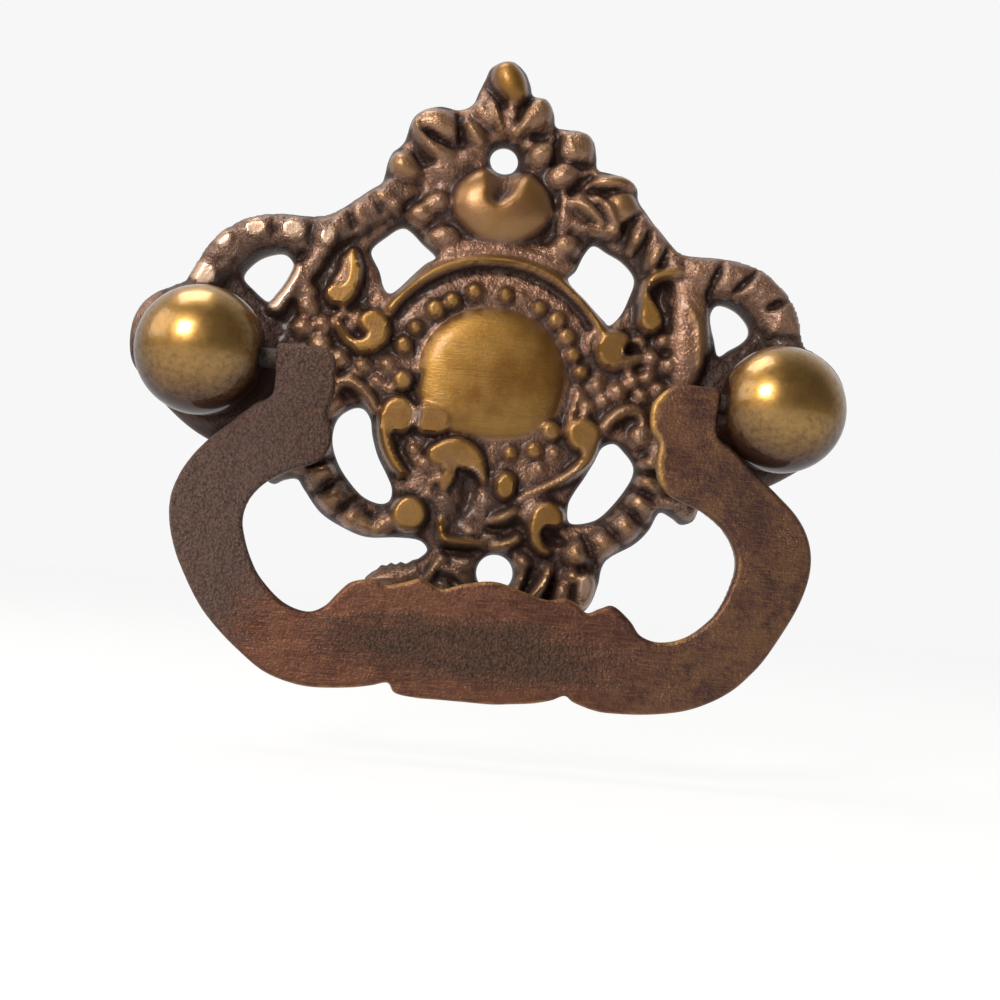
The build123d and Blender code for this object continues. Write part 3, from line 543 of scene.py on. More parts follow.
for rows in (
    [(-11.0, 29.3, 0.4, 0.7), (-9.5, 28.5, 0.55, 1.3), (-7.4, 27.6, 0.5, 1.0)],
    [(-6.7, 31.6, 0.45, 0.8), (-6.5, 29.8, 0.5, 1.1), (-6.1, 28.2, 0.45, 0.8)],
    [(-3.6, 35.2, 0.4, 0.7), (-2.2, 34.0, 0.45, 1.0), (-1.2, 32.8, 0.45, 1.0), (-0.7, 31.4, 0.4, 0.6)],
    [(1.5, 34.8, 0.35, 0.7), (0.7, 33.0, 0.45, 1.1), (-0.1, 31.4, 0.4, 0.8)],
    [(4.7, 31.4, 0.4, 0.7), (4.9, 29.4, 0.45, 1.0), (4.7, 27.0, 0.4, 0.8)],
    [(9.0, 27.3, 0.4, 0.6), (7.2, 27.1, 0.45, 0.9), (5.2, 27.5, 0.4, 0.7)],
    [(9.2, 24.5, 0.4, 0.7), (11.6, 24.5, 0.45, 1.1), (13.6, 24.8, 0.4, 0.9)],
    [(8.6, 23.5, 0.4, 0.7), (10.3, 22.3, 0.4, 1.0), (11.6, 20.6, 0.35, 0.8)],
    [(9.2, 26.2, 0.4, 0.7), (8.0, 25.0, 0.5, 1.0), (6.8, 23.6, 0.4, 0.8)],
    [(13.4, 20.0, 0.5, 0.9), (14.3, 21.0, 0.6, 1.1), (15.2, 22.2, 0.4, 0.8)],
    [(-11.2, 26.4, 0.4, 0.6), (-10.2, 25.4, 0.5, 0.8), (-8.8, 25.6, 0.4, 0.6)],
    [(2.0, 30.0, 0.4, 0.7), (3.0, 29.9, 0.45, 0.9), (4.2, 30.8, 0.4, 0.7)],
    [(4.4, 17.8, 0.6, 0.5), (5.6, 20.2, 0.7, 0.6), (5.4, 23.4, 0.6, 0.5)],
):
    cut(plate, rows)
print("crest stands", round(float(plate["level"][plate["gy"] > 25].max()), 2), "mm above the back")

# %% [markdown]
# ## Stem, lower scrolls and lower rope
# Below the boss the pattern gathers into a stem with the bottom pin hole, a flat comma, more eyes,
# and a rope on each side that ends in a small drop ball. Once it is filed, this part stands lower
# than the rest, because the grip of the bail passes close in front when it is pushed home.

# %% Lower scrolls and stem
# The stem's ground gets negative wear, which paints it darker, as shade under the grip.
rib(plate, [(0.0, -11.0, 4.6, 0.5), (0.0, -16.0, 4.8, 0.55), (0.2, -22.0, 5.0, 0.5),
            (0.3, -25.0, 5.0, 0.4)], worn=-0.45, form=6)
mound(plate, -10.1, -3.9, 1.95, 1.9, 1.6, worn=0.7, filed=True)
mound(plate, -6.9, -4.1, 2.6, 1.5, 1.58, worn=0.75, turn=-8, filed=True)
mound(plate, -5.2, -9.5, 1.5, 1.0, 1.3, worn=0.2)
rib(plate, [(-11.6, -4.6, 0.8, 1.6), (-11.5, -6.4, 0.65, 1.65), (-11.0, -8.0, 0.6, 1.7),
            (-10.1, -9.4, 0.55, 1.7), (-9.0, -10.5, 0.4, 1.5)], worn=0.7, filed=True)
rib(plate, [(-5.4, -8.0, 1.1, 1.85), (-4.2, -7.7, 1.5, 1.85), (-2.8, -7.6, 1.5, 1.85),
            (-1.5, -8.3, 1.3, 1.85), (-0.5, -9.4, 0.75, 1.85),
            (0.1, -10.5, 0.35, 1.6)], worn=0.7, filed=True)
rib(plate, [(-3.8, -9.0, 0.6, 1.8), (-3.9, -10.4, 0.65, 1.75),
            (-4.4, -11.7, 0.45, 1.3)], worn=0.6, filed=True)
rib(plate, [(-6.2, -11.2, 0.5, 1.0), (-5.2, -10.8, 0.7, 1.4), (-4.4, -10.4, 0.6, 1.4)], worn=0.25)
mound(plate, 2.6, -10.9, 1.05, 1.5, 1.85, worn=0.7, turn=-8, filed=True)
mound(plate, 1.9, -10.5, 1.2, 1.6, 1.3, worn=0.2)
mound(plate, 10.9, -4.2, 1.8, 1.75, 1.75, worn=0.7, filed=True)
rib(plate, [(11.7, -5.2, 0.9, 1.75), (11.7, -6.4, 0.75, 1.75),
            (11.1, -7.6, 0.55, 1.7)], worn=0.6, filed=True)
rib(plate, [(11.3, -7.2, 0.75, 1.7), (10.0, -8.6, 0.7, 1.7), (8.2, -9.9, 0.65, 1.6), (6.4, -10.9, 0.6, 1.5),
            (4.8, -11.7, 0.45, 1.2)], worn=0.4)
rib(plate, [(9.9, 0.9, 0.4, 1.1), (9.7, -0.9, 0.45, 1.4), (9.3, -2.5, 0.45, 1.4),
            (8.7, -4.2, 0.4, 1.2)], worn=0.35)
rib(plate, [(10.5, 0.2, 0.6, 1.0), (10.9, -1.3, 0.65, 1.2), (10.6, -2.5, 0.6, 1.1)], worn=0.35)


def mirrored(side, rows):
    """The rows carried to one side: x is multiplied by -1 on the left."""
    return [(side * x, *rest) for x, *rest in rows]


STRAND = 1.7
for side in (-1, 1):
    rib(plate, mirrored(side, [(13.0, -3.5, 0.7, 1.3), (14.0, -2.0, 0.85, 1.6), (15.5, -0.9, 0.85, 1.6),
                               (17.1, -0.9, 0.75, 1.4), (17.7, -1.9, 0.6, 1.1)]), worn=0.3)
    mound(plate, 17.6 * side, -3.6, 1.4, 1.5, 1.3, worn=0.25, form=2.6)
    rib(plate, mirrored(side, [(20.1, -3.4, 1.6, 0.9), (19.8, -6.6, 1.7, 1.2), (19.3, -9.6, 1.8, 1.2),
                               (18.0, -12.1, 1.8, 1.2), (16.2, -14.5, 1.8, 1.2), (13.8, -16.6, 1.8, 1.2),
                               (11.0, -17.6, 1.5, 1.1)]), worn=-0.5)
    for x, y, tilt in (
        (19.2, -6.7, 0), (18.9, -8.9, -15), (18.2, -11.4, -28), (16.7, -14.1, -42), (14.3, -16.3, -52),
        (11.3, -17.7, -70),
    ):
        mound(plate, x * side, y, 1.6, 0.95, 1.8, worn=0.35, form=2.6, turn=tilt * side)
    for x, y, tilt in (
        (19.2, -7.8, -8), (18.7, -10.2, -22), (17.6, -12.8, -35), (15.6, -15.3, -47), (12.8, -17.1, -62),
    ):
        c, s = STRAND * np.cos(radians(tilt)), STRAND * np.sin(radians(tilt))
        cut(plate, mirrored(side, [(x - c, y - s, 0.5, 0.9), (x, y, 0.55, 1.0), (x + c, y + s, 0.5, 0.9)]))
    rib(plate, mirrored(side, [(20.6, -10.9, 0.9, 1.0), (22.2, -11.1, 0.8, 1.0), (23.2, -11.4, 0.9, 1.1)]),
        worn=-0.6)
    mound(plate, 23.6 * side, -11.6, 1.6, 1.4, 2.0, worn=-0.6)
mound(plate, -7.9, -15.0, 1.85, 1.85, 1.8, worn=0.7, filed=True)
for x, y, wide, tall, rise, worn in (
    (-12.8, -16.8, 1.3, 1.2, 1.6, 0.4), (-10.5, -16.3, 1.4, 1.2, 1.3, 0.2),
    (5.2, -19.3, 1.2, 1.1, 1.6, 0.35), (11.2, -17.9, 1.4, 1.3, 1.7, 0.3),
    (11.2, -20.3, 1.0, 0.9, 1.5, 0.35), (10.2, -22.2, 1.0, 1.4, 1.2, 0.15),
    (-3.8, -19.7, 0.8, 0.7, 1.4, 0.3), (-1.2, -20.0, 1.6, 0.8, 1.0, 0.15),
    # The lumps at (0.4, -13.4) and (-3.9, -13.6) have wear -0.4, which paints them darker, as shade on the
    # stem.
    (4.4, -12.3, 0.8, 0.6, 0.9, 0.15), (0.4, -13.4, 0.9, 1.6, 0.8, -0.4),
    (-3.9, -13.6, 1.2, 1.8, 0.9, -0.4), (-1.0, -16.3, 1.2, 0.7, 1.1, 0.2), (1.4, -16.6, 0.7, 0.6, 1.1, 0.2),
    (-6.0, -12.6, 1.0, 0.8, 1.0, 0.15),
):
    mound(plate, x, y, wide, tall, rise, worn=worn)
mound(plate, 12.7, -21.7, 1.0, 1.8, 1.6, worn=0.3, filed=True)
mound(plate, 8.0, -13.7, 1.5, 1.25, 1.8, worn=0.7, filed=True)
rib(plate, [(7.9, -12.9, 0.65, 1.8), (6.9, -13.5, 0.8, 1.8), (6.5, -14.9, 0.75, 1.8),
            (6.5, -16.3, 0.7, 1.75), (7.1, -17.4, 0.6, 1.65), (8.0, -17.8, 0.4, 1.4)], worn=0.7, filed=True)
rib(plate, [(7.4, -12.0, 0.7, 1.0), (5.7, -12.7, 0.8, 1.2), (5.2, -14.2, 0.7, 1.1),
            (5.5, -15.4, 0.5, 0.9)], worn=0.15)
for rows, worn in (
    ([(-4.3, -15.6, 0.6, 1.4), (-4.1, -16.7, 0.65, 1.6), (-3.6, -17.5, 0.65, 1.8), (-1.6, -17.6, 0.6, 1.8),
      (0.6, -17.6, 0.5, 1.5)], 0.75),
    ([(1.5, -15.0, 0.6, 1.2), (2.7, -14.4, 0.85, 1.8), (3.9, -13.6, 0.75, 1.6)], 0.4),
    ([(2.0, -17.9, 0.6, 1.4), (3.3, -17.4, 0.75, 1.8), (4.5, -16.7, 0.75, 1.7),
      (4.2, -16.2, 0.5, 1.4)], 0.5),
    ([(-5.5, -22.4, 0.5, 1.2), (-4.9, -21.4, 0.55, 1.5), (-4.3, -20.5, 0.5, 1.3)], 0.4),
    ([(-3.6, -20.7, 0.35, 1.1), (-2.2, -21.0, 0.4, 1.2), (-1.0, -21.8, 0.35, 1.0)], 0.2),
    ([(8.4, -19.7, 0.6, 1.3), (8.0, -21.2, 0.75, 1.6), (7.1, -22.6, 0.75, 1.5),
      (6.4, -23.6, 0.6, 1.2)], 0.35),
    ([(5.6, -20.4, 0.4, 1.2), (5.2, -21.4, 0.5, 1.4), (5.0, -22.4, 0.4, 1.2)], 0.35),
    ([(-6.6, -21.4, 0.9, 0.5), (-9.2, -22.1, 1.0, 0.5), (-11.4, -22.7, 0.7, 0.4)], 0.0),
):
    rib(plate, rows, worn=worn)
for rows in (
    [(-1.4, -10.2, 1.5, 0.7), (-1.5, -12.0, 1.6, 0.9), (-1.9, -14.0, 1.1, 0.6), (-2.4, -15.2, 0.6, 0.4)],
    [(1.2, -15.9, 0.5, 0.7), (3.0, -15.8, 0.5, 0.9), (4.9, -15.2, 0.4, 0.7)],
    [(2.6, -16.4, 0.4, 0.5), (3.4, -16.3, 0.4, 0.5)],
    [(-3.8, -18.7, 0.4, 0.7), (-1.5, -18.7, 0.5, 0.9), (0.4, -18.6, 0.4, 0.6)],
    [(-3.8, -21.6, 0.5, 0.6), (-2.6, -21.9, 0.6, 0.8), (-1.6, -22.6, 0.5, 0.6)],
    [(9.0, -20.6, 0.5, 0.9), (8.7, -22.6, 0.6, 1.1), (8.3, -24.0, 0.5, 0.9)],
    [(6.6, -20.0, 0.5, 0.5), (6.4, -21.2, 0.6, 0.7), (6.0, -22.4, 0.5, 0.5)],
    [(8.3, -16.1, 0.8, 0.9), (9.3, -16.3, 0.8, 0.9)],
    [(-9.4, -6.4, 0.6, 0.5), (-9.6, -8.0, 0.7, 0.5), (-8.4, -9.6, 0.6, 0.4)],
    [(-8.9, -1.7, 0.8, 0.8), (-8.2, -3.0, 0.75, 0.4), (-8.1, -4.2, 0.75, 0.4), (-8.4, -5.6, 0.8, 0.7)],
    [(-8.9, -0.6, 0.6, 0.6), (-8.4, 0.8, 0.6, 0.5)],
):
    cut(plate, rows)
print("lower carving stands", round(float(plate["level"][plate["gy"] < -12].max()), 2), "mm above the back")

# %% [markdown]
# ## Finish the plate as a casting
# Poured metal doesn't fill sharp corners, so the whole relief is softened by a fraction of a
# millimetre. Then the file passes: what stands above its height is taken down to a crisp flat and
# shows bare metal. Sand leaves the ground rough, by about a tenth. Every height is drawn down near
# an edge by a quarter circle. The plate is flat where a post is seated and round the pin holes.

# %% Cast the plate
gap, on_metal = plate["gap"], plate["used"].astype(float)
level = soften(plate["level"], on_metal, 1, 1)
worn = soften(plate["worn"], on_metal, 1, 1)
flat_wear = plate["worn"]
file_pass = plate["file"] + 0.03 * tumble(plate, 3.0, 2)
filed = ramp(level, file_pass, 0.10)
level = np.minimum(level, file_pass)
rough = np.clip(1 - 1.8 * np.maximum(worn, filed), 0, 1) ** 1.5
sand = 0.10 * tumble(plate, 0.95, 3) + 0.09 * tumble(plate, 0.55, 4) + 0.10 * tumble(plate, 2.2, 5)
level += rough * sand

SEAT, PIN_LAND, EDGE_ROUND = 7.0, 2.9, 1.5
from_post = np.minimum(*(np.hypot(plate_x - x, plate_y) for x in (POST_X, -POST_X)))
level = PLATE + (level - PLATE) * ramp(from_post, SEAT, 0.8)
from_pin = np.minimum(*(np.hypot(plate_x - x, plate_y - y) - r for x, y, r in (top_pin, bottom_pin)))
level = np.minimum(level, PIN_LAND + 2.0 * ramp(from_pin, 0, 0.9) ** 2)
front = level * (0.45 + 0.55 * quarter(gap, EDGE_ROUND))
foot = front[plate_y < -12]
print("relief stands", round(float(front.max()), 2), "mm, and the stem", round(float(foot.max()), 2))

# %% [markdown]
# The paint needs to know more than wear. It takes four more layers from the finished height: the
# bare flats, the facets on the ropes, which are painted pale as a highlight, what stands above its
# surroundings, where hands rub and a pale highlight is painted too, and what lies below them, where
# dirt stays and the darkening is painted shade as well. Steep flanks, the seats of the posts and the
# stem, which the grip keeps in its shade, are darkened too, and that is painted shade.

# %% Measure the casting for its paint
close_by, wide_by = soften(front, on_metal, 2), soften(front, on_metal, 6)
stands_up = ramp(front, close_by, 0.25) * 0.6 + ramp(front, wide_by, 0.9) * 0.4
# Hollows are darkened: dirt that stays there, and painted shade as well.
low_dirt_and_painted_shade = ramp(close_by, front, 0.28) * 0.6 + ramp(wide_by - front, 0.25, 0.9) * 0.45
# Steep flanks are darkened as painted shade.
flank = np.hypot(*np.gradient(soften(front, on_metal, 1, 1), STEP)) * (gap > 1.0)
low_dirt_and_painted_shade += ramp(flank, 0.55, 0.9) * 0.45
# The ground round each post's seat is darkened as painted shade.
low_dirt_and_painted_shade += ramp(-from_post, -10.4, 1.8) * (from_post > 3) * 0.9
# The stem below the boss is darkened as painted shade under the grip.
low_dirt_and_painted_shade += ramp(-plate_y, 9.0, 5) * ramp(-np.abs(plate_x), -9.5, 3) * 0.35
layers = {
    "worn": worn,
    "filed": filed * np.clip(flat_wear, 0, 1),
    "facet": filed * ramp(-flat_wear, -0.5, 0.2),
    "crest": np.clip(stands_up, 0, 1),
    "dirt_and_shade": np.clip(low_dirt_and_painted_shade, 0, 1),
}
backplate = close_sheet("carved_backplate", plate, front, np.zeros_like(front), layers)
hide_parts("backplate")
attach(backplate, "plate")

# %% [markdown]
# ## The bail
# The bail is a flat-backed casting that hangs with its plain back outwards. It has the sand's
# grain on the left arm and in the middle of the grip, and file marks elsewhere. Its other side,
# towards the plate, is moulded round. The same sheet makes it: a flat level in front, and behind it
# a thickness that grows from the edge by a quarter circle. Its edges are rubbed bright in a few
# places, which are soft spots laid over the outline.

# %% Bail
PIVOT, BAIL_FRONT = 8.6, 10.5
bail_edge = [
    (-23.6, 1.2), (-23.5, -1.5), (-23.6, -4.1), (-25.4, -5.4), (-27.7, -7.6), (-29.6, -9.4), (-31.2, -11.4),
    (-32.4, -13.6), (-33.05, -16.0), (-32.9, -18.6), (-32.0, -21.6), (-30.5, -24.5), (-28.6, -27.4),
    (-26.3, -29.8), (-23.6, -32.0), (-21.7, -33.3), (-19.7, -34.1), (-17.2, -34.6), (-14.8, -34.6),
    (-11.9, -34.3), (-9.9, -33.9), (-8.3, -33.5), (-7.4, -34.5), (-5.2, -34.8), (-3.0, -34.8), (0.0, -34.8),
    (2.8, -34.8), (4.8, -34.6), (7.2, -34.3), (9.2, -33.8), (10.6, -33.2), (11.6, -33.8), (13.6, -34.4),
    (15.5, -34.6), (19.5, -34.4), (23.4, -33.7), (26.3, -32.5), (28.6, -31.0), (30.3, -29.3), (31.8, -27.4),
    (33.5, -24.5), (35.0, -21.5), (35.9, -18.6), (36.05, -16.0), (35.4, -13.6), (34.0, -11.5), (31.8, -9.5),
    (29.6, -7.7), (26.7, -5.2), (24.8, -3.8), (24.6, -1.6), (24.6, 1.2), (22.6, 1.5), (20.4, 1.5),
    (18.9, 0.9), (17.6, -0.5), (17.2, -1.9), (17.4, -3.7), (18.4, -5.2), (18.3, -7.4), (18.9, -9.6),
    (20.4, -10.9), (23.6, -12.1), (26.0, -13.7), (27.4, -15.6), (27.95, -17.6), (27.6, -19.6),
    (26.85, -21.7), (25.6, -23.7), (23.1, -25.8), (20.4, -26.6), (18.2, -26.1), (16.9, -24.6),
    (15.0, -23.2), (13.6, -23.6), (12.2, -24.2), (11.0, -23.3), (9.7, -22.9), (7.7, -23.2), (5.3, -22.6),
    (2.1, -21.8), (-1.1, -22.3), (-3.5, -23.1), (-4.8, -22.6), (-6.0, -22.2), (-7.5, -22.7), (-9.4, -23.2),
    (-10.8, -22.8), (-12.1, -22.9), (-13.4, -23.4), (-14.6, -24.7), (-15.8, -26.1), (-17.6, -26.8),
    (-20.2, -26.0), (-22.7, -23.8), (-24.0, -21.8), (-24.9, -19.6), (-25.3, -17.6), (-24.8, -15.5),
    (-23.3, -13.6), (-21.0, -12.1), (-18.4, -11.0), (-17.1, -9.6), (-16.85, -7.6), (-17.6, -5.4),
    (-17.1, -3.7), (-17.1, -1.7), (-17.3, 0.3), (-18.2, 1.3), (-20.4, 1.5), (-22.4, 1.5),
]
wax = lay_sheet([fair_line(bail_edge, closed=True)], 0.2, BAIL_FRONT)
gx, gy, gap = wax["gx"], wax["gy"], wax["gap"]


def spot(x, y, radius):
    """A soft round spot on the bail: exp(-(distance / radius)^2)."""
    return np.exp(-(np.hypot(gx - x, gy - y) / radius) ** 2)


ease = 0.4 * (1 - quarter(gap, 0.45))
patch = np.hypot((gx - 0.5) / 20.0, (gy + 29.2 + 0.02 * gx) / 4.2)
arm = (-18.5 - gx + 0.5 * (gy + 24)) / 7.0
skin = np.clip(np.maximum(1.25 - 1.25 * patch**2, arm), 0, 1)
sand = 0.05 * tumble(wax, 0.42, 11) + 0.05 * tumble(wax, 0.8, 12)
bail_front = BAIL_FRONT - ease - 0.06 + skin * sand + 0.04 * tumble(wax, 6.0, 13) * (gap > 1)
thick = 0.8 + 3.0 * quarter(gap, 1.7)
rub = spot(17.6, -1.6, 2.2) + spot(18.6, -7.4, 2.6)
rub += 0.20 * np.exp(-(((gy + 34.2) / 1.2) ** 2)) + 0.3 * spot(22, -26.5, 3.0)
rub += 0.25 * np.exp(-((gx / 15.0) ** 6)) * (gy > -27)
edge = np.clip(1 - gap / (0.35 + 1.8 * rub), 0, 1) * np.clip(0.45 + 1.5 * rub, 0, 1)
layers = {"skin": skin, "edge": edge}
bail = close_sheet("swinging_bail", wax, np.minimum(bail_front, BAIL_FRONT), BAIL_FRONT - thick, layers)

# %% [markdown]
# ## Turned pieces
# The posts, their nuts and the bail's pins are lathe work, so each is a profile carried round an
# axis. The flat on the inner side of a post's head, and the bore for the bail's pin in it, are the
# only places where a plain lathe surface won't do. There the rings stop where they meet the flat,
# and a second patch fills the flat out from the rim of the bore.


# %% Lathe helpers
TURNED_CRISP = radians(35)


def quads(rows, cols, first=0, closed=False):
    """Corner numbers of the cells of a grid of points, with the last column joined to the first when
    it is closed."""
    number = first + np.arange(rows * cols).reshape(rows, cols)
    if closed:
        number = np.hstack([number, number[:, :1]])
    return np.stack([number[:-1, :-1], number[:-1, 1:], number[1:, 1:], number[1:, :-1]], -1).reshape(-1, 4)


def weld(piece):
    """Joins points that lie together, drops what that flattens, and turns all faces outwards."""
    work = bmesh.new()
    work.from_mesh(piece.data)
    bmesh.ops.remove_doubles(work, verts=work.verts, dist=2e-6)
    bmesh.ops.dissolve_degenerate(work, edges=work.edges, dist=1e-7)
    bmesh.ops.recalc_face_normals(work, faces=work.faces)
    work.to_mesh(piece.data)
    work.free()
    piece.data.shade_smooth()
    piece.data.set_sharp_from_angle(angle=TURNED_CRISP)
    return piece


HEAD_FLAT, BORE, BORE_DEPTH = 6.3, 1.16, 3.7


def head_profile():
    """Radius against height from the neck's foot up to the crown: neck, foot, swelling side and a
    round crown, an ellipse of half height 5.8 over the girth at 9.4."""
    neck = [(3.8, PLATE), (3.8, 4.35), (4.1, 4.4), (5.9, 4.4)]
    side = [(6.2 + 0.8 * np.sin(t * pi / 2), 4.5 + 4.9 * t) for t in np.linspace(0.04, 1, 22)]
    crown = [(7.0 * np.cos(t), 9.4 + 5.8 * np.sin(t)) for t in np.linspace(0, pi / 2, 40)[1:-1]]
    return np.array(neck + [(6.1, 4.42)] + side + crown + [(1e-4, 15.2)])


def with_flat(rings):
    """Adds the two rings that just touch the flat, found by straight interpolation, and gives their
    numbers."""
    over = rings[:, 0] > HEAD_FLAT
    first, last = over.argmax(), len(over) - 1 - over[::-1].argmax()
    extra = []
    for a, b in ((first - 1, first), (last + 1, last)):
        t = (HEAD_FLAT - rings[a, 0]) / (rings[b, 0] - rings[a, 0])
        extra.append(rings[a] + t * (rings[b] - rings[a]))
    whole = np.vstack([rings[:first], extra[0], rings[first : last + 1], extra[1], rings[last + 1 :]])
    return whole, first, last + 2


# %% [markdown]
# ## Posts
# A post is one turned bar: domed head, neck, plain shank and a threaded stud that goes through the
# drawer front. The thread is a helix, so the radius on the stud depends on height and turn together.


# %% Posts
STUD_END, STUD_TOP, STUD_RADIUS, PITCH, SHANK = -24.0, -2.4, 2.05, 0.8, 2.3
STUD_RINGS, COLUMNS = 217, 120


def thread(height, turn):
    """Radius on the stud: a ridge that climbs one pitch each turn, with rounded crests and roots,
    fading out at the run-out and at the tip."""
    phase = (height / PITCH + turn / (2 * pi)) % 1
    wave = np.clip(0.5 + 0.75 * np.cos(2 * pi * phase), 0, 1)
    depth = 0.46 * ramp(-height, 2.9, 0.8)
    tip = ramp(height, STUD_END, 0.6)
    return np.minimum(STUD_RADIUS - depth * (1 - wave), 1.45 + 0.6 * tip)


def turned_post(name, side):
    """Rings round the post's axis; where a ring is wider than the flat it runs only from one end of
    its chord to the other."""
    head, low, high = with_flat(head_profile())
    stud = np.column_stack([np.zeros(STUD_RINGS), np.linspace(STUD_END, STUD_TOP, STUD_RINGS)])
    rings = np.vstack([stud, [(SHANK, STUD_TOP), (SHANK, PLATE)], head])
    radius, height = rings[:, :1], rings[:, 1:]
    chord = np.arccos(np.clip(HEAD_FLAT / np.maximum(radius, HEAD_FLAT), -1, 1))
    turn = chord + np.linspace(0, 1, COLUMNS)[None, :] * (2 * pi - 2 * chord)
    screw = np.arange(len(rings))[:, None] < STUD_RINGS
    reach = np.where(screw, thread(height, turn), radius)
    lathe = np.stack([reach * np.cos(turn), reach * np.sin(turn), np.broadcast_to(height, turn.shape)], -1)
    tip = np.tile([[0.0, 0.0, STUD_END]], (COLUMNS, 1))[None]
    lathe = np.vstack([tip, lathe])
    patch = flat_patch(head[low : high + 1])
    points = np.vstack([lathe.reshape(-1, 3), patch.reshape(-1, 3)])
    faces = np.vstack([quads(*lathe.shape[:2]), quads(*patch.shape[:2], lathe.shape[0] * COLUMNS, True)])
    placed = np.column_stack([side * (POST_X - points[:, 0]), points[:, 1], points[:, 2]])
    return weld(make_piece(name, placed, faces))


def flat_patch(rings):
    """The flat from its rim in to the bore, then down the bore's wall to its end: each rim point is
    carried along a straight line towards the middle of the bore."""
    half = np.sqrt(np.clip(rings[:, 0] ** 2 - HEAD_FLAT**2, 0, None))
    across = np.concatenate([half, -half[-2:0:-1]])
    up = np.concatenate([rings[:, 1], rings[-2:0:-1, 1]])
    angle = np.arctan2(up - PIVOT, across)
    steps = np.linspace(0, 1, 5)[:, None]
    wide = across + steps * (BORE * np.cos(angle) - across)
    tall = up + steps * (PIVOT + BORE * np.sin(angle) - up)
    flat = np.stack([np.full_like(wide, HEAD_FLAT), wide, tall], -1)
    wall = flat[-1:] - np.array([1.0, 0, 0]) * np.linspace(0.15, BORE_DEPTH, 6)[:, None, None]
    end = np.broadcast_to([HEAD_FLAT - BORE_DEPTH, 0, PIVOT], wall[-1:].shape)
    return np.vstack([flat, wall, end])


posts = {}
for name, side in (("post_left", -1), ("post_right", 1)):
    posts[name] = turned_post("domed_" + name, side)
    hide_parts(name)
    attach(posts[name], "plate")

# %% [markdown]
# ## Pins and nuts
# The bail's pins are cast with it and turned to size. They reach from the tabs into the bores. The
# nuts are plain round discs that keep the posts on the plate until the pull is fixed to a drawer.


# %% Pins and nuts
def swept(profile, columns, place):
    """A profile of (radius, along) carried round a full turn, with place() putting each
    (radius * cos, radius * sin, along) where it belongs."""
    turn = np.arange(columns) * 2 * pi / columns
    profile = np.asarray(profile, float)
    r, along = profile[:, :1], profile[:, 1:]
    ring = np.stack([r * np.cos(turn), r * np.sin(turn), np.broadcast_to(along, (len(profile), columns))], -1)
    return place(ring.reshape(-1, 3)), quads(len(profile), columns, closed=True)


def join(name, parts):
    """Several surfaces in one mesh."""
    start = np.cumsum([0] + [len(points) for points, _ in parts[:-1]])
    faces = np.vstack([faces + first for (_, faces), first in zip(parts, start)])
    return weld(make_piece(name, np.vstack([points for points, _ in parts]), faces))


pin = [(0, 20.5), (1.1, 20.5), (1.1, 23.0), (1.1, 26.0), (1.1, 28.3), (0.8, 28.6), (0, 28.6)]
pins = []
for side in (-1, 1):
    pins.append(swept(pin, 40, lambda p: np.column_stack([side * p[:, 2], p[:, 0], p[:, 1] + PIVOT])))
pin_piece = join("bail_pins", pins)
nut = [(2.35, 0), (4.35, 0), (4.5, -0.15), (4.5, -1.3), (4.0, -1.8), (2.7, -1.8), (2.35, -1.5), (2.35, 0)]
nuts = []
for side in (-1, 1):
    nuts.append(swept(nut, 72, lambda p: np.column_stack([p[:, 0] + side * POST_X, p[:, 1], p[:, 2]])))
nut_piece = join("keeper_nuts", nuts)
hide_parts("bail")
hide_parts("post_nuts")
for piece, body, slot in (
    (bail, "bail", "bail_brass"), (pin_piece, "bail", "bail_brass"), (nut_piece, "plate", "nut_brass"),
):
    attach(piece, body)

# %% [markdown]
# ## Finishes
# All the pieces are brass, but each has lived differently. Three effects are shared, so each is a
# node group with its own inputs: the grain that sand leaves, fine scratches along one direction, and
# the blend from dark skin to rubbed metal. Positions come from Object coordinates in millimetres.


# %% Node helpers
class Board:
    """Lays nodes on one tree: add() makes a node, sets it up and wires or sets its inputs."""

    def __init__(self, tree):
        self.tree = tree

    def feed(self, socket, value):
        if isinstance(value, bpy.types.NodeSocket):
            self.tree.links.new(value, socket)
        else:
            socket.default_value = value

    def add(self, kind, inputs=None, **settings):
        node = self.tree.nodes.new(kind)
        for key, value in settings.items():
            setattr(node, key, value)
        for key, value in (inputs or {}).items():
            self.feed(node.inputs[key], value)
        return node

    def math(self, operation, a, b):
        return self.add("ShaderNodeMath", {0: a, 1: b}, operation=operation).outputs[0]

    def plus(self, a, b):
        return self.math("ADD", a, b)

    def minus(self, a, b):
        return self.math("SUBTRACT", a, b)

    def times(self, a, b):
        return self.math("MULTIPLY", a, b)

    def larger(self, a, b):
        return self.math("MAXIMUM", a, b)

    def spread(self, value, low, high, to_low=0.0, to_high=1.0):
        """The value carried from one range to another and held there."""
        inputs = {"Value": value, "From Min": low, "From Max": high, "To Min": to_low, "To Max": to_high}
        return self.add("ShaderNodeMapRange", inputs).outputs[0]

    def mix(self, factor, a, b, blend="MIX"):
        inputs = {0: factor, 6: a, 7: b}
        return self.add("ShaderNodeMix", inputs, data_type="RGBA", blend_type=blend).outputs[2]

    def tint(self, factor, color, by):
        """The colour multiplied by another one, as far as the factor says."""
        return self.mix(factor, color, self.mix(1.0, color, by, "MULTIPLY"))

    def millimetres(self, stretch=(1, 1, 1)):
        place = self.add("ShaderNodeTexCoord").outputs["Object"]
        scale = tuple(1000 * s for s in stretch)
        return self.add("ShaderNodeVectorMath", {0: place, 1: scale}, operation="MULTIPLY").outputs[0]

    def noise(self, vector, scale, detail=3.0, rough=0.55):
        inputs = {"Vector": vector, "Scale": scale, "Detail": detail, "Roughness": rough}
        return self.add("ShaderNodeTexNoise", inputs).outputs[0]

    def axes(self):
        return self.add("ShaderNodeSeparateXYZ", {0: self.millimetres()}).outputs

    def layer(self, name):
        return self.add("ShaderNodeAttribute", attribute_name=name).outputs["Fac"]


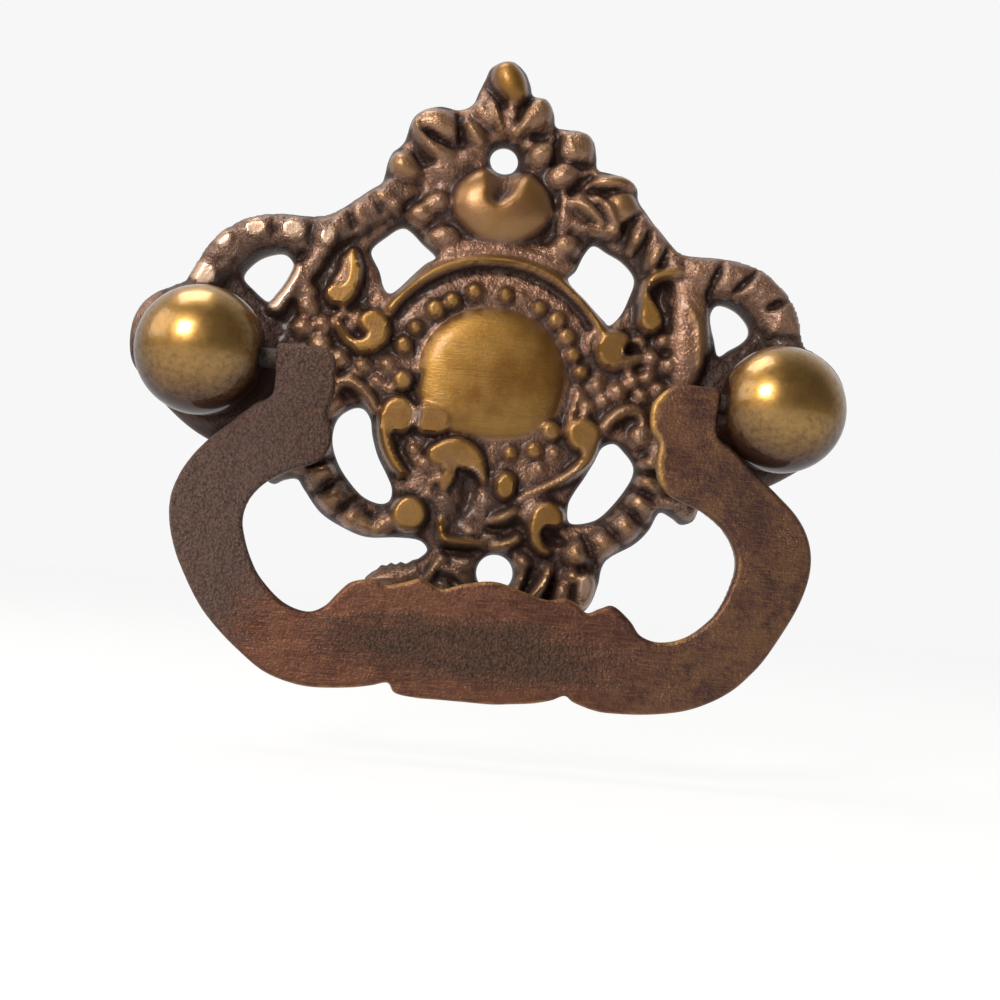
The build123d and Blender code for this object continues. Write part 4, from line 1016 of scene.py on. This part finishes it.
def new_group(name, inputs, outputs):
    """An empty node group with named sockets; returns its board, its inputs and its output node."""
    tree = bpy.data.node_groups.new(name, "ShaderNodeTree")
    for label, kind, value in inputs:
        socket = tree.interface.new_socket(label, in_out="INPUT", socket_type=kind)
        socket.default_value = value
    for label, kind in outputs:
        tree.interface.new_socket(label, in_out="OUTPUT", socket_type=kind)
    board = Board(tree)
    return board, board.add("NodeGroupInput").outputs, board.add("NodeGroupOutput")


FLOAT, COLOR = "NodeSocketFloat", "NodeSocketColor"

# %% [markdown]
# Sand grain is a net of small rounded lumps with finer dust between them. A cell pattern gives the
# lumps, and a noise gives the dust. The same grain also gives a mask of the raised specks, which the
# bail and the pins paint lighter than the pits: partly the grain's own tone, partly painted highlight
# and shade.

# %% Sand grain group
board, given, out = new_group("sand_grain", [("Size", FLOAT, 2.6), ("Strength", FLOAT, 1.0)],
                              [("Height", FLOAT), ("Speck", FLOAT)])
place = board.millimetres()
inputs = {"Vector": place, "Scale": given["Size"], "Randomness": 1.0}
cells = board.add("ShaderNodeTexVoronoi", inputs, feature="F1")
lumps = board.minus(1.0, cells.outputs["Distance"])
dust = board.noise(place, board.times(given["Size"], 1.7), 2.0, 0.6)
height = board.plus(board.times(lumps, 0.55), board.times(dust, 0.75))
board.feed(out.inputs["Height"], board.times(height, given["Strength"]))
board.feed(out.inputs["Speck"], board.spread(height, 0.45, 0.95))

# %% [markdown]
# Scratches are noise that has been stretched a long way along x, as a file or a cloth leaves them.

# %% Scratch group
board, given, out = new_group("rubbed_scratches", [("Fineness", FLOAT, 6.0)],
                              [("Height", FLOAT), ("Line", FLOAT)])
long_way = board.millimetres((0.06, 1.0, 1.0))
fine = board.noise(long_way, given["Fineness"], 3.0, 0.65)
coarse = board.noise(long_way, board.times(given["Fineness"], 0.3), 2.0, 0.5)
board.feed(out.inputs["Height"], board.plus(fine, board.times(coarse, 0.5)))
board.feed(out.inputs["Line"], board.spread(fine, 0.52, 0.68))

# %% [markdown]
# The blend runs from dark skin, through brown, to rubbed brass. Wear decides where a place is on
# that road, darkening pulls it back, and a slow noise makes the border ragged. The darkening is dirt,
# and on the plate and the posts painted shade as well.

# %% Patina group
board, given, out = new_group(
    "brass_patina",
    [("Dark", COLOR, (0.03, 0.015, 0.012, 1)), ("Brown", COLOR, (0.13, 0.08, 0.055, 1)),
     ("Bright", COLOR, (0.42, 0.27, 0.08, 1)), ("Wear", FLOAT, 0.5), ("Dirt", FLOAT, 0.0),
     ("Patch Size", FLOAT, 0.35)],
    [("Color", COLOR), ("Rubbed", FLOAT), ("Darkened", FLOAT)],
)
place = board.millimetres()
slow = board.noise(place, given["Patch Size"], 4.0, 0.6)
quick = board.noise(place, board.times(given["Patch Size"], 7.0), 3.0, 0.6)
ragged = board.plus(board.times(board.minus(slow, 0.5), 0.55),
                    board.times(board.minus(quick, 0.5), 0.40))
rubbed = board.spread(board.plus(given["Wear"], ragged), 0.25, 1.0)
darkened = board.spread(board.plus(given["Dirt"], board.times(ragged, 0.6)), 0.10, 0.70)
metal = board.mix(rubbed, given["Brown"], given["Bright"])
shade = board.tint(board.spread(slow, 0.35, 0.7, 0.0, 0.35), metal, (0.75, 0.62, 0.42, 1))
board.feed(out.inputs["Color"], board.mix(darkened, shade, given["Dark"]))
board.feed(out.inputs["Rubbed"], rubbed)
board.feed(out.inputs["Darkened"], darkened)
print("groups", [g.name for g in bpy.data.node_groups])

# %% [markdown]
# ## Plate finish
# The plate's ground is brown with a grey-pink sparkle, its hollows are almost black, from dirt and
# painted shade, and the tops of beads, scrolls, horseshoe and boss are rubbed to olive brass with fine
# lines in it. The facets on the ropes and the highest crests are painted paler, as a highlight. The
# back, which no hand reaches, is dull and olive.


# %% Plate material
def new_material(name):
    """A material with its board and its one shader."""
    material = bpy.data.materials.new(name)
    material.use_nodes = True
    board = Board(material.node_tree)
    return material, board, material.node_tree.nodes["Principled BSDF"]


def group(board, name, **inputs):
    """One use of a node group, with its named inputs set or wired."""
    node = board.add("ShaderNodeGroup", node_tree=bpy.data.node_groups[name])
    for key, value in inputs.items():
        board.feed(node.inputs[key.replace("_", " ")], value)
    return node.outputs


def finish(board, shader, color, roughness, metallic, height, depth):
    """Wires one brass finish: colour, roughness, metal, and a bump whose depth is in millimetres."""
    bump = board.add("ShaderNodeBump", {"Height": height, "Distance": depth * MM, "Strength": 1.0})
    board.feed(shader.inputs["Base Color"], color)
    board.feed(shader.inputs["Roughness"], roughness)
    board.feed(shader.inputs["Metallic"], metallic)
    board.feed(shader.inputs["Normal"], bump.outputs[0])


plate_finish, board, shader = new_material("plate_brass_worn")
worn, filed = board.layer("worn"), board.layer("filed")
crest, dirt_and_shade = board.layer("crest"), board.layer("dirt_and_shade")
bare = board.larger(worn, filed)
# Raised places get some rub: partly real wear, partly a painted highlight.
wear = board.plus(board.times(bare, 0.95), board.times(crest, 0.25))
# The darkening is dirt in the hollows plus painted shade on flanks, post seats and the stem.
darkening = board.plus(board.minus(dirt_and_shade, board.times(bare, 0.4)), board.spread(worn, 0.0, -1.0, 0.0, 0.58))
patina = group(board, "brass_patina", Dark=(0.036, 0.016, 0.011, 1), Brown=(0.205, 0.106, 0.066, 1),
               Bright=(0.270, 0.146, 0.030, 1), Wear=wear, Dirt=darkening, Patch_Size=0.30)
# Facets and crests are painted pale below, as a painted highlight.
facet = board.layer("facet")
painted_highlight = board.plus(board.times(facet, 0.75),
                  board.times(crest, board.spread(bare, 0.25, 0.6, 0.18, 0.0)))
color = board.mix(painted_highlight, patina["Color"], (0.37, 0.26, 0.19, 1))
uneven = board.spread(board.noise(board.millimetres(), 0.16, 4.0, 0.62), 0.42, 0.64)
color = board.tint(board.times(uneven, bare), color, (0.66, 0.56, 0.52, 1))
behind = board.times(board.spread(board.axes()["Y"], -0.4, -0.1), board.spread(uneven, 0, 1, 0.9, 0.45))
color = board.mix(behind, color, (0.225, 0.165, 0.080, 1))
grain = group(board, "sand_grain", Size=2.4, Strength=1.0)
scratch = group(board, "rubbed_scratches", Fineness=5.0)
lines = board.times(scratch["Line"], board.spread(bare, 0.5, 0.9, 0.0, 0.35))
color = board.tint(lines, color, (0.62, 0.58, 0.60, 1))
sandy = board.spread(board.larger(bare, facet), 0.05, 0.5, 1.0, 0.10)
brushed = board.spread(bare, 0.5, 0.9, 0.0, 0.22)
height = board.plus(board.times(grain["Height"], sandy), board.times(scratch["Height"], brushed))
rough = board.plus(board.spread(patina["Rubbed"], 0, 1, 0.30, 0.46), board.times(patina["Darkened"], 0.25))
finish(board, shader, color, rough, board.spread(patina["Rubbed"], 0, 1, 0.60, 0.85), height, 0.17)
shader.inputs["Coat Weight"].default_value = 0.20
shader.inputs["Coat Roughness"].default_value = 0.20
backplate.data.materials.append(plate_finish)
print("plate finish has", len(plate_finish.node_tree.nodes), "nodes")

# %% [markdown]
# ## Post finish
# The heads are smooth turned brass, polished by fingers on the crown, with faint smears and a few dark
# pits. Each head is painted darker towards its bottom and round its foot, which is painted shade.

# %% Post material
post_finish, board, shader = new_material("post_brass_satin")
place, axes = board.millimetres(), board.axes()
out_of_front = board.minus(board.times(axes["Z"], 0.35), axes["Y"])
crown = board.spread(out_of_front, 6.0, 14.0)
smear = board.noise(place, 0.5, 4.0, 0.6)
spots = board.spread(board.noise(place, 1.5, 4.0, 0.7), 0.44, 0.68)
wear = board.plus(board.times(crown, 0.75), board.times(smear, 0.5))
wear = board.minus(wear, board.times(spots, 0.20))
# Darkening towards the bottom of the head and round the foot is painted shade; the spots are real pits.
darkening = board.plus(board.spread(out_of_front, 14.6, 8.0, 0.0, 0.90), board.times(spots, 0.22))
patina = group(board, "brass_patina", Dark=(0.046, 0.016, 0.008, 1), Brown=(0.17, 0.080, 0.026, 1),
               Bright=(0.33, 0.190, 0.052, 1), Wear=wear, Dirt=darkening, Patch_Size=0.22)
grain = group(board, "sand_grain", Size=2.0, Strength=0.4)
scratch = group(board, "rubbed_scratches", Fineness=4.0)
height = board.plus(board.times(grain["Height"], 0.12), board.times(scratch["Height"], 0.06))
rough = board.plus(board.spread(smear, 0.3, 0.7, 0.28, 0.38), board.times(patina["Darkened"], 0.25))
finish(board, shader, patina["Color"], rough, board.spread(patina["Darkened"], 0, 1, 0.97, 0.90), height, 0.10)
shader.inputs["Coat Weight"].default_value = 0.65
shader.inputs["Coat Roughness"].default_value = 0.12
for piece in posts.values():
    piece.data.materials.append(post_finish)

# %% [markdown]
# ## Bail finish
# Raw skin is dark grey-brown and coarse, its pits painted darker and its lumps lighter: partly the
# grain's own tone, partly painted shade and highlight. Where the file has been, the metal is red-brown
# with fine lines along the grip, blotched with purple, and its sharp edges are rubbed to gold; the red
# on the left and middle is partly painted warm bounce light. The pins are nearly black, which is painted
# shade: they sit in the dark gap between tab and head.

# %% Bail material
bail_finish, board, shader = new_material("bail_brass_filed")
place, axes = board.millimetres(), board.axes()
skin_layer, edge_layer = board.layer("skin"), board.layer("edge")
streaky = board.millimetres((0.25, 1.0, 1.0))
ragged = board.noise(place, 0.8, 4.0, 0.65)
streaks = board.noise(streaky, 1.1, 4.0, 0.65)
border = board.plus(skin_layer, board.times(board.minus(streaks, 0.5), 2.0))
raw = board.spread(border, 0.15, 1.0)
rightward = board.spread(axes["X"], 12.0, 24.0)
blotch = board.spread(board.noise(place, 0.22, 5.0, 0.68), 0.44, 0.60)
mottle = board.spread(board.noise(place, 1.3, 4.0, 0.7), 0.40, 0.66)
stain = board.spread(board.plus(blotch, mottle), 0.2, 1.5)
# The reddish filed colour is partly the metal's own and partly painted warm bounce light.
reddish_and_warm_bounce = board.mix(stain, (0.132, 0.055, 0.033, 1), (0.074, 0.028, 0.019, 1))
olive = board.mix(stain, (0.150, 0.076, 0.041, 1), (0.070, 0.034, 0.029, 1))
filed = board.mix(rightward, reddish_and_warm_bounce, olive)
scratch = group(board, "rubbed_scratches", Fineness=7.0)
filed = board.mix(board.times(scratch["Line"], 0.55), filed, (0.23, 0.115, 0.055, 1))
grain = group(board, "sand_grain", Size=2.9, Strength=1.0)
leftward = board.spread(axes["X"], -14.0, -24.0)
# Pits painted darker and lumps lighter: the grain's own tone plus painted shade and highlight.
pits = board.mix(leftward, (0.040, 0.019, 0.012, 1), (0.070, 0.040, 0.032, 1))
lumps = board.mix(leftward, (0.125, 0.065, 0.040, 1), (0.160, 0.098, 0.078, 1))
coarse = board.mix(grain["Speck"], pits, lumps)
color = board.mix(raw, filed, coarse)
gold = board.plus(edge_layer, board.times(board.minus(ragged, 0.5), 0.9))
gold = board.times(board.spread(gold, 0.45, 0.95), board.spread(raw, 0, 1, 0.85, 0.10))
color = board.mix(gold, color, (0.42, 0.24, 0.075, 1))
height = board.plus(board.times(grain["Height"], board.spread(raw, 0, 1, 0.14, 1.0)),
                    board.times(scratch["Height"], board.spread(raw, 0, 1, 0.10, 0.0)))
rough, shine = board.spread(raw, 0, 1, 0.44, 0.55), board.spread(raw, 0, 1, 0.8, 0.5)
finish(board, shader, color, rough, shine, height, 0.45)
bail.data.materials.append(bail_finish)

pin_finish, board, shader = new_material("pin_painted_shade")
grain = group(board, "sand_grain", Size=3.0, Strength=0.6)
# Nearly black: painted shade in the gap between tab and head, with lighter specks as painted highlight.
color = board.mix(grain["Speck"], (0.014, 0.009, 0.007, 1), (0.050, 0.031, 0.023, 1))
rough, shine = board.spread(grain["Speck"], 0, 1, 0.65, 0.5), board.spread(grain["Speck"], 0, 1, 0.3, 0.6)
finish(board, shader, color, rough, shine, grain["Height"], 0.10)
pin_piece.data.materials.append(pin_finish)

# %% [markdown]
# ## Nut finish
# The nuts sit behind the plate, out of reach of hands, so they are dull turned brass.

# %% Nut material
nut_finish, board, shader = new_material("nut_brass_dull")
place = board.millimetres()
wear, darkening = board.noise(place, 0.6, 4.0, 0.6), board.spread(board.noise(place, 0.25), 0.45, 0.8)
patina = group(board, "brass_patina", Dark=(0.05, 0.03, 0.02, 1), Brown=(0.24, 0.17, 0.09, 1),
               Bright=(0.42, 0.31, 0.14, 1), Wear=wear, Dirt=darkening, Patch_Size=0.5)
scratch = group(board, "rubbed_scratches", Fineness=5.0)
finish(board, shader, patina["Color"], board.spread(patina["Rubbed"], 0, 1, 0.5, 0.38),
       board.spread(patina["Darkened"], 0, 1, 1.0, 0.7), scratch["Height"], 0.04)
nut_piece.data.materials.append(nut_finish)
print("finishes", [m.name for m in (plate_finish, post_finish, bail_finish, pin_finish, nut_finish)])

# %% [markdown]
# ## Stage, light and camera
# The pull is shown against white. A pale floor lies below it, and the world behind it is white,
# while the room in front is dimmer, so that rounded metal shows bright rims and a darker middle.
# Soft window light comes from the upper left. The camera stands a little below the pull, close to
# it, and slightly turned.

# %% Stage
bpy.ops.mesh.primitive_plane_add(size=6)
floor = bpy.context.object
floor.name = "pale_floor"
FLOOR_DROP = 42
floor.data.transform(Matrix.Translation((0, 0, -FLOOR_DROP * MM)))
floor_finish, board, shader = new_material("pale_floor")
shader.inputs["Base Color"].default_value = (0.86, 0.85, 0.84, 1)
shader.inputs["Roughness"].default_value = 0.8
path = board.add("ShaderNodeLightPath").outputs
reflected = board.larger(path["Is Glossy Ray"], path["Is Transmission Ray"])
seen = board.times(board.larger(path["Is Camera Ray"], reflected), 0.86)
white = board.add("ShaderNodeEmission", {"Color": (1, 1, 1, 1), "Strength": 1.0})
both = board.add("ShaderNodeMixShader", {0: seen, 1: shader.outputs[0], 2: white.outputs[0]})
board.feed(floor_finish.node_tree.nodes["Material Output"].inputs["Surface"], both.outputs[0])
floor.data.materials.append(floor_finish)

world = bpy.data.worlds.new("soft_room")
bpy.context.scene.world = world
world.use_nodes = True
board = Board(world.node_tree)
toward = board.add("ShaderNodeTexCoord").outputs["Generated"]
behind = board.spread(board.add("ShaderNodeSeparateXYZ", {0: toward}).outputs["Y"], -0.25, 0.45)
room = board.mix(behind, (0.185, 0.175, 0.165, 1), (0.90, 0.90, 0.90, 1))
path = board.add("ShaderNodeLightPath").outputs
room = board.mix(path["Is Camera Ray"], room, (0.93, 0.93, 0.93, 1))
board.feed(world.node_tree.nodes["Background"].inputs["Color"], room)


# %% Lights and camera
def window(name, place, size, radiance, color):
    """A square soft light at a place (x, y, h) in millimetres, turned to the pull. An area light's
    power is its radiance times pi times its area."""
    lamp = bpy.data.lights.new(name, "AREA")
    lamp.size = size * MM
    lamp.energy = radiance * pi * (size * MM) ** 2
    lamp.color = color
    light = bpy.data.objects.new(name, lamp)
    x, y, h = place
    light.location = (x * MM, -h * MM, y * MM)
    light.rotation_euler = light.location.to_track_quat("Z", "Y").to_euler()
    bpy.context.scene.collection.objects.link(light)


window("window_high", (-120, 330, 0), 180, 6.5, (1.0, 0.96, 0.90))
window("window_front", (-160, 150, 290), 105, 32.0, (1.0, 0.95, 0.88))
window("room_left", (-330, 170, 120), 220, 2.8, (1.0, 0.93, 0.86))

roll, yaw, tilt = radians(-5.3964), radians(3.3781), radians(-4.0)
spin = Matrix.Rotation(tilt, 3, "X") @ Matrix.Rotation(yaw, 3, "Y") @ Matrix.Rotation(roll, 3, "Z")
stand = Matrix(((1, 0, 0), (0, 0, -1), (0, 1, 0)))
shift = Vector((-1.12209, 12.38858, -150.57606))
lens = bpy.data.cameras.new("camera")
lens.sensor_width = 36
lens.lens = 46.8
lens.clip_start = 0.001
eye = bpy.data.objects.new("camera", lens)
turned = (stand @ spin.transposed()).to_4x4()
eye.matrix_world = Matrix.Translation(stand @ (spin.transposed() @ -shift) * MM) @ turned
bpy.context.scene.collection.objects.link(eye)
bpy.context.scene.camera = eye
bpy.context.scene.view_settings.view_transform = "Standard"
print("camera at", [round(v, 4) for v in eye.location])
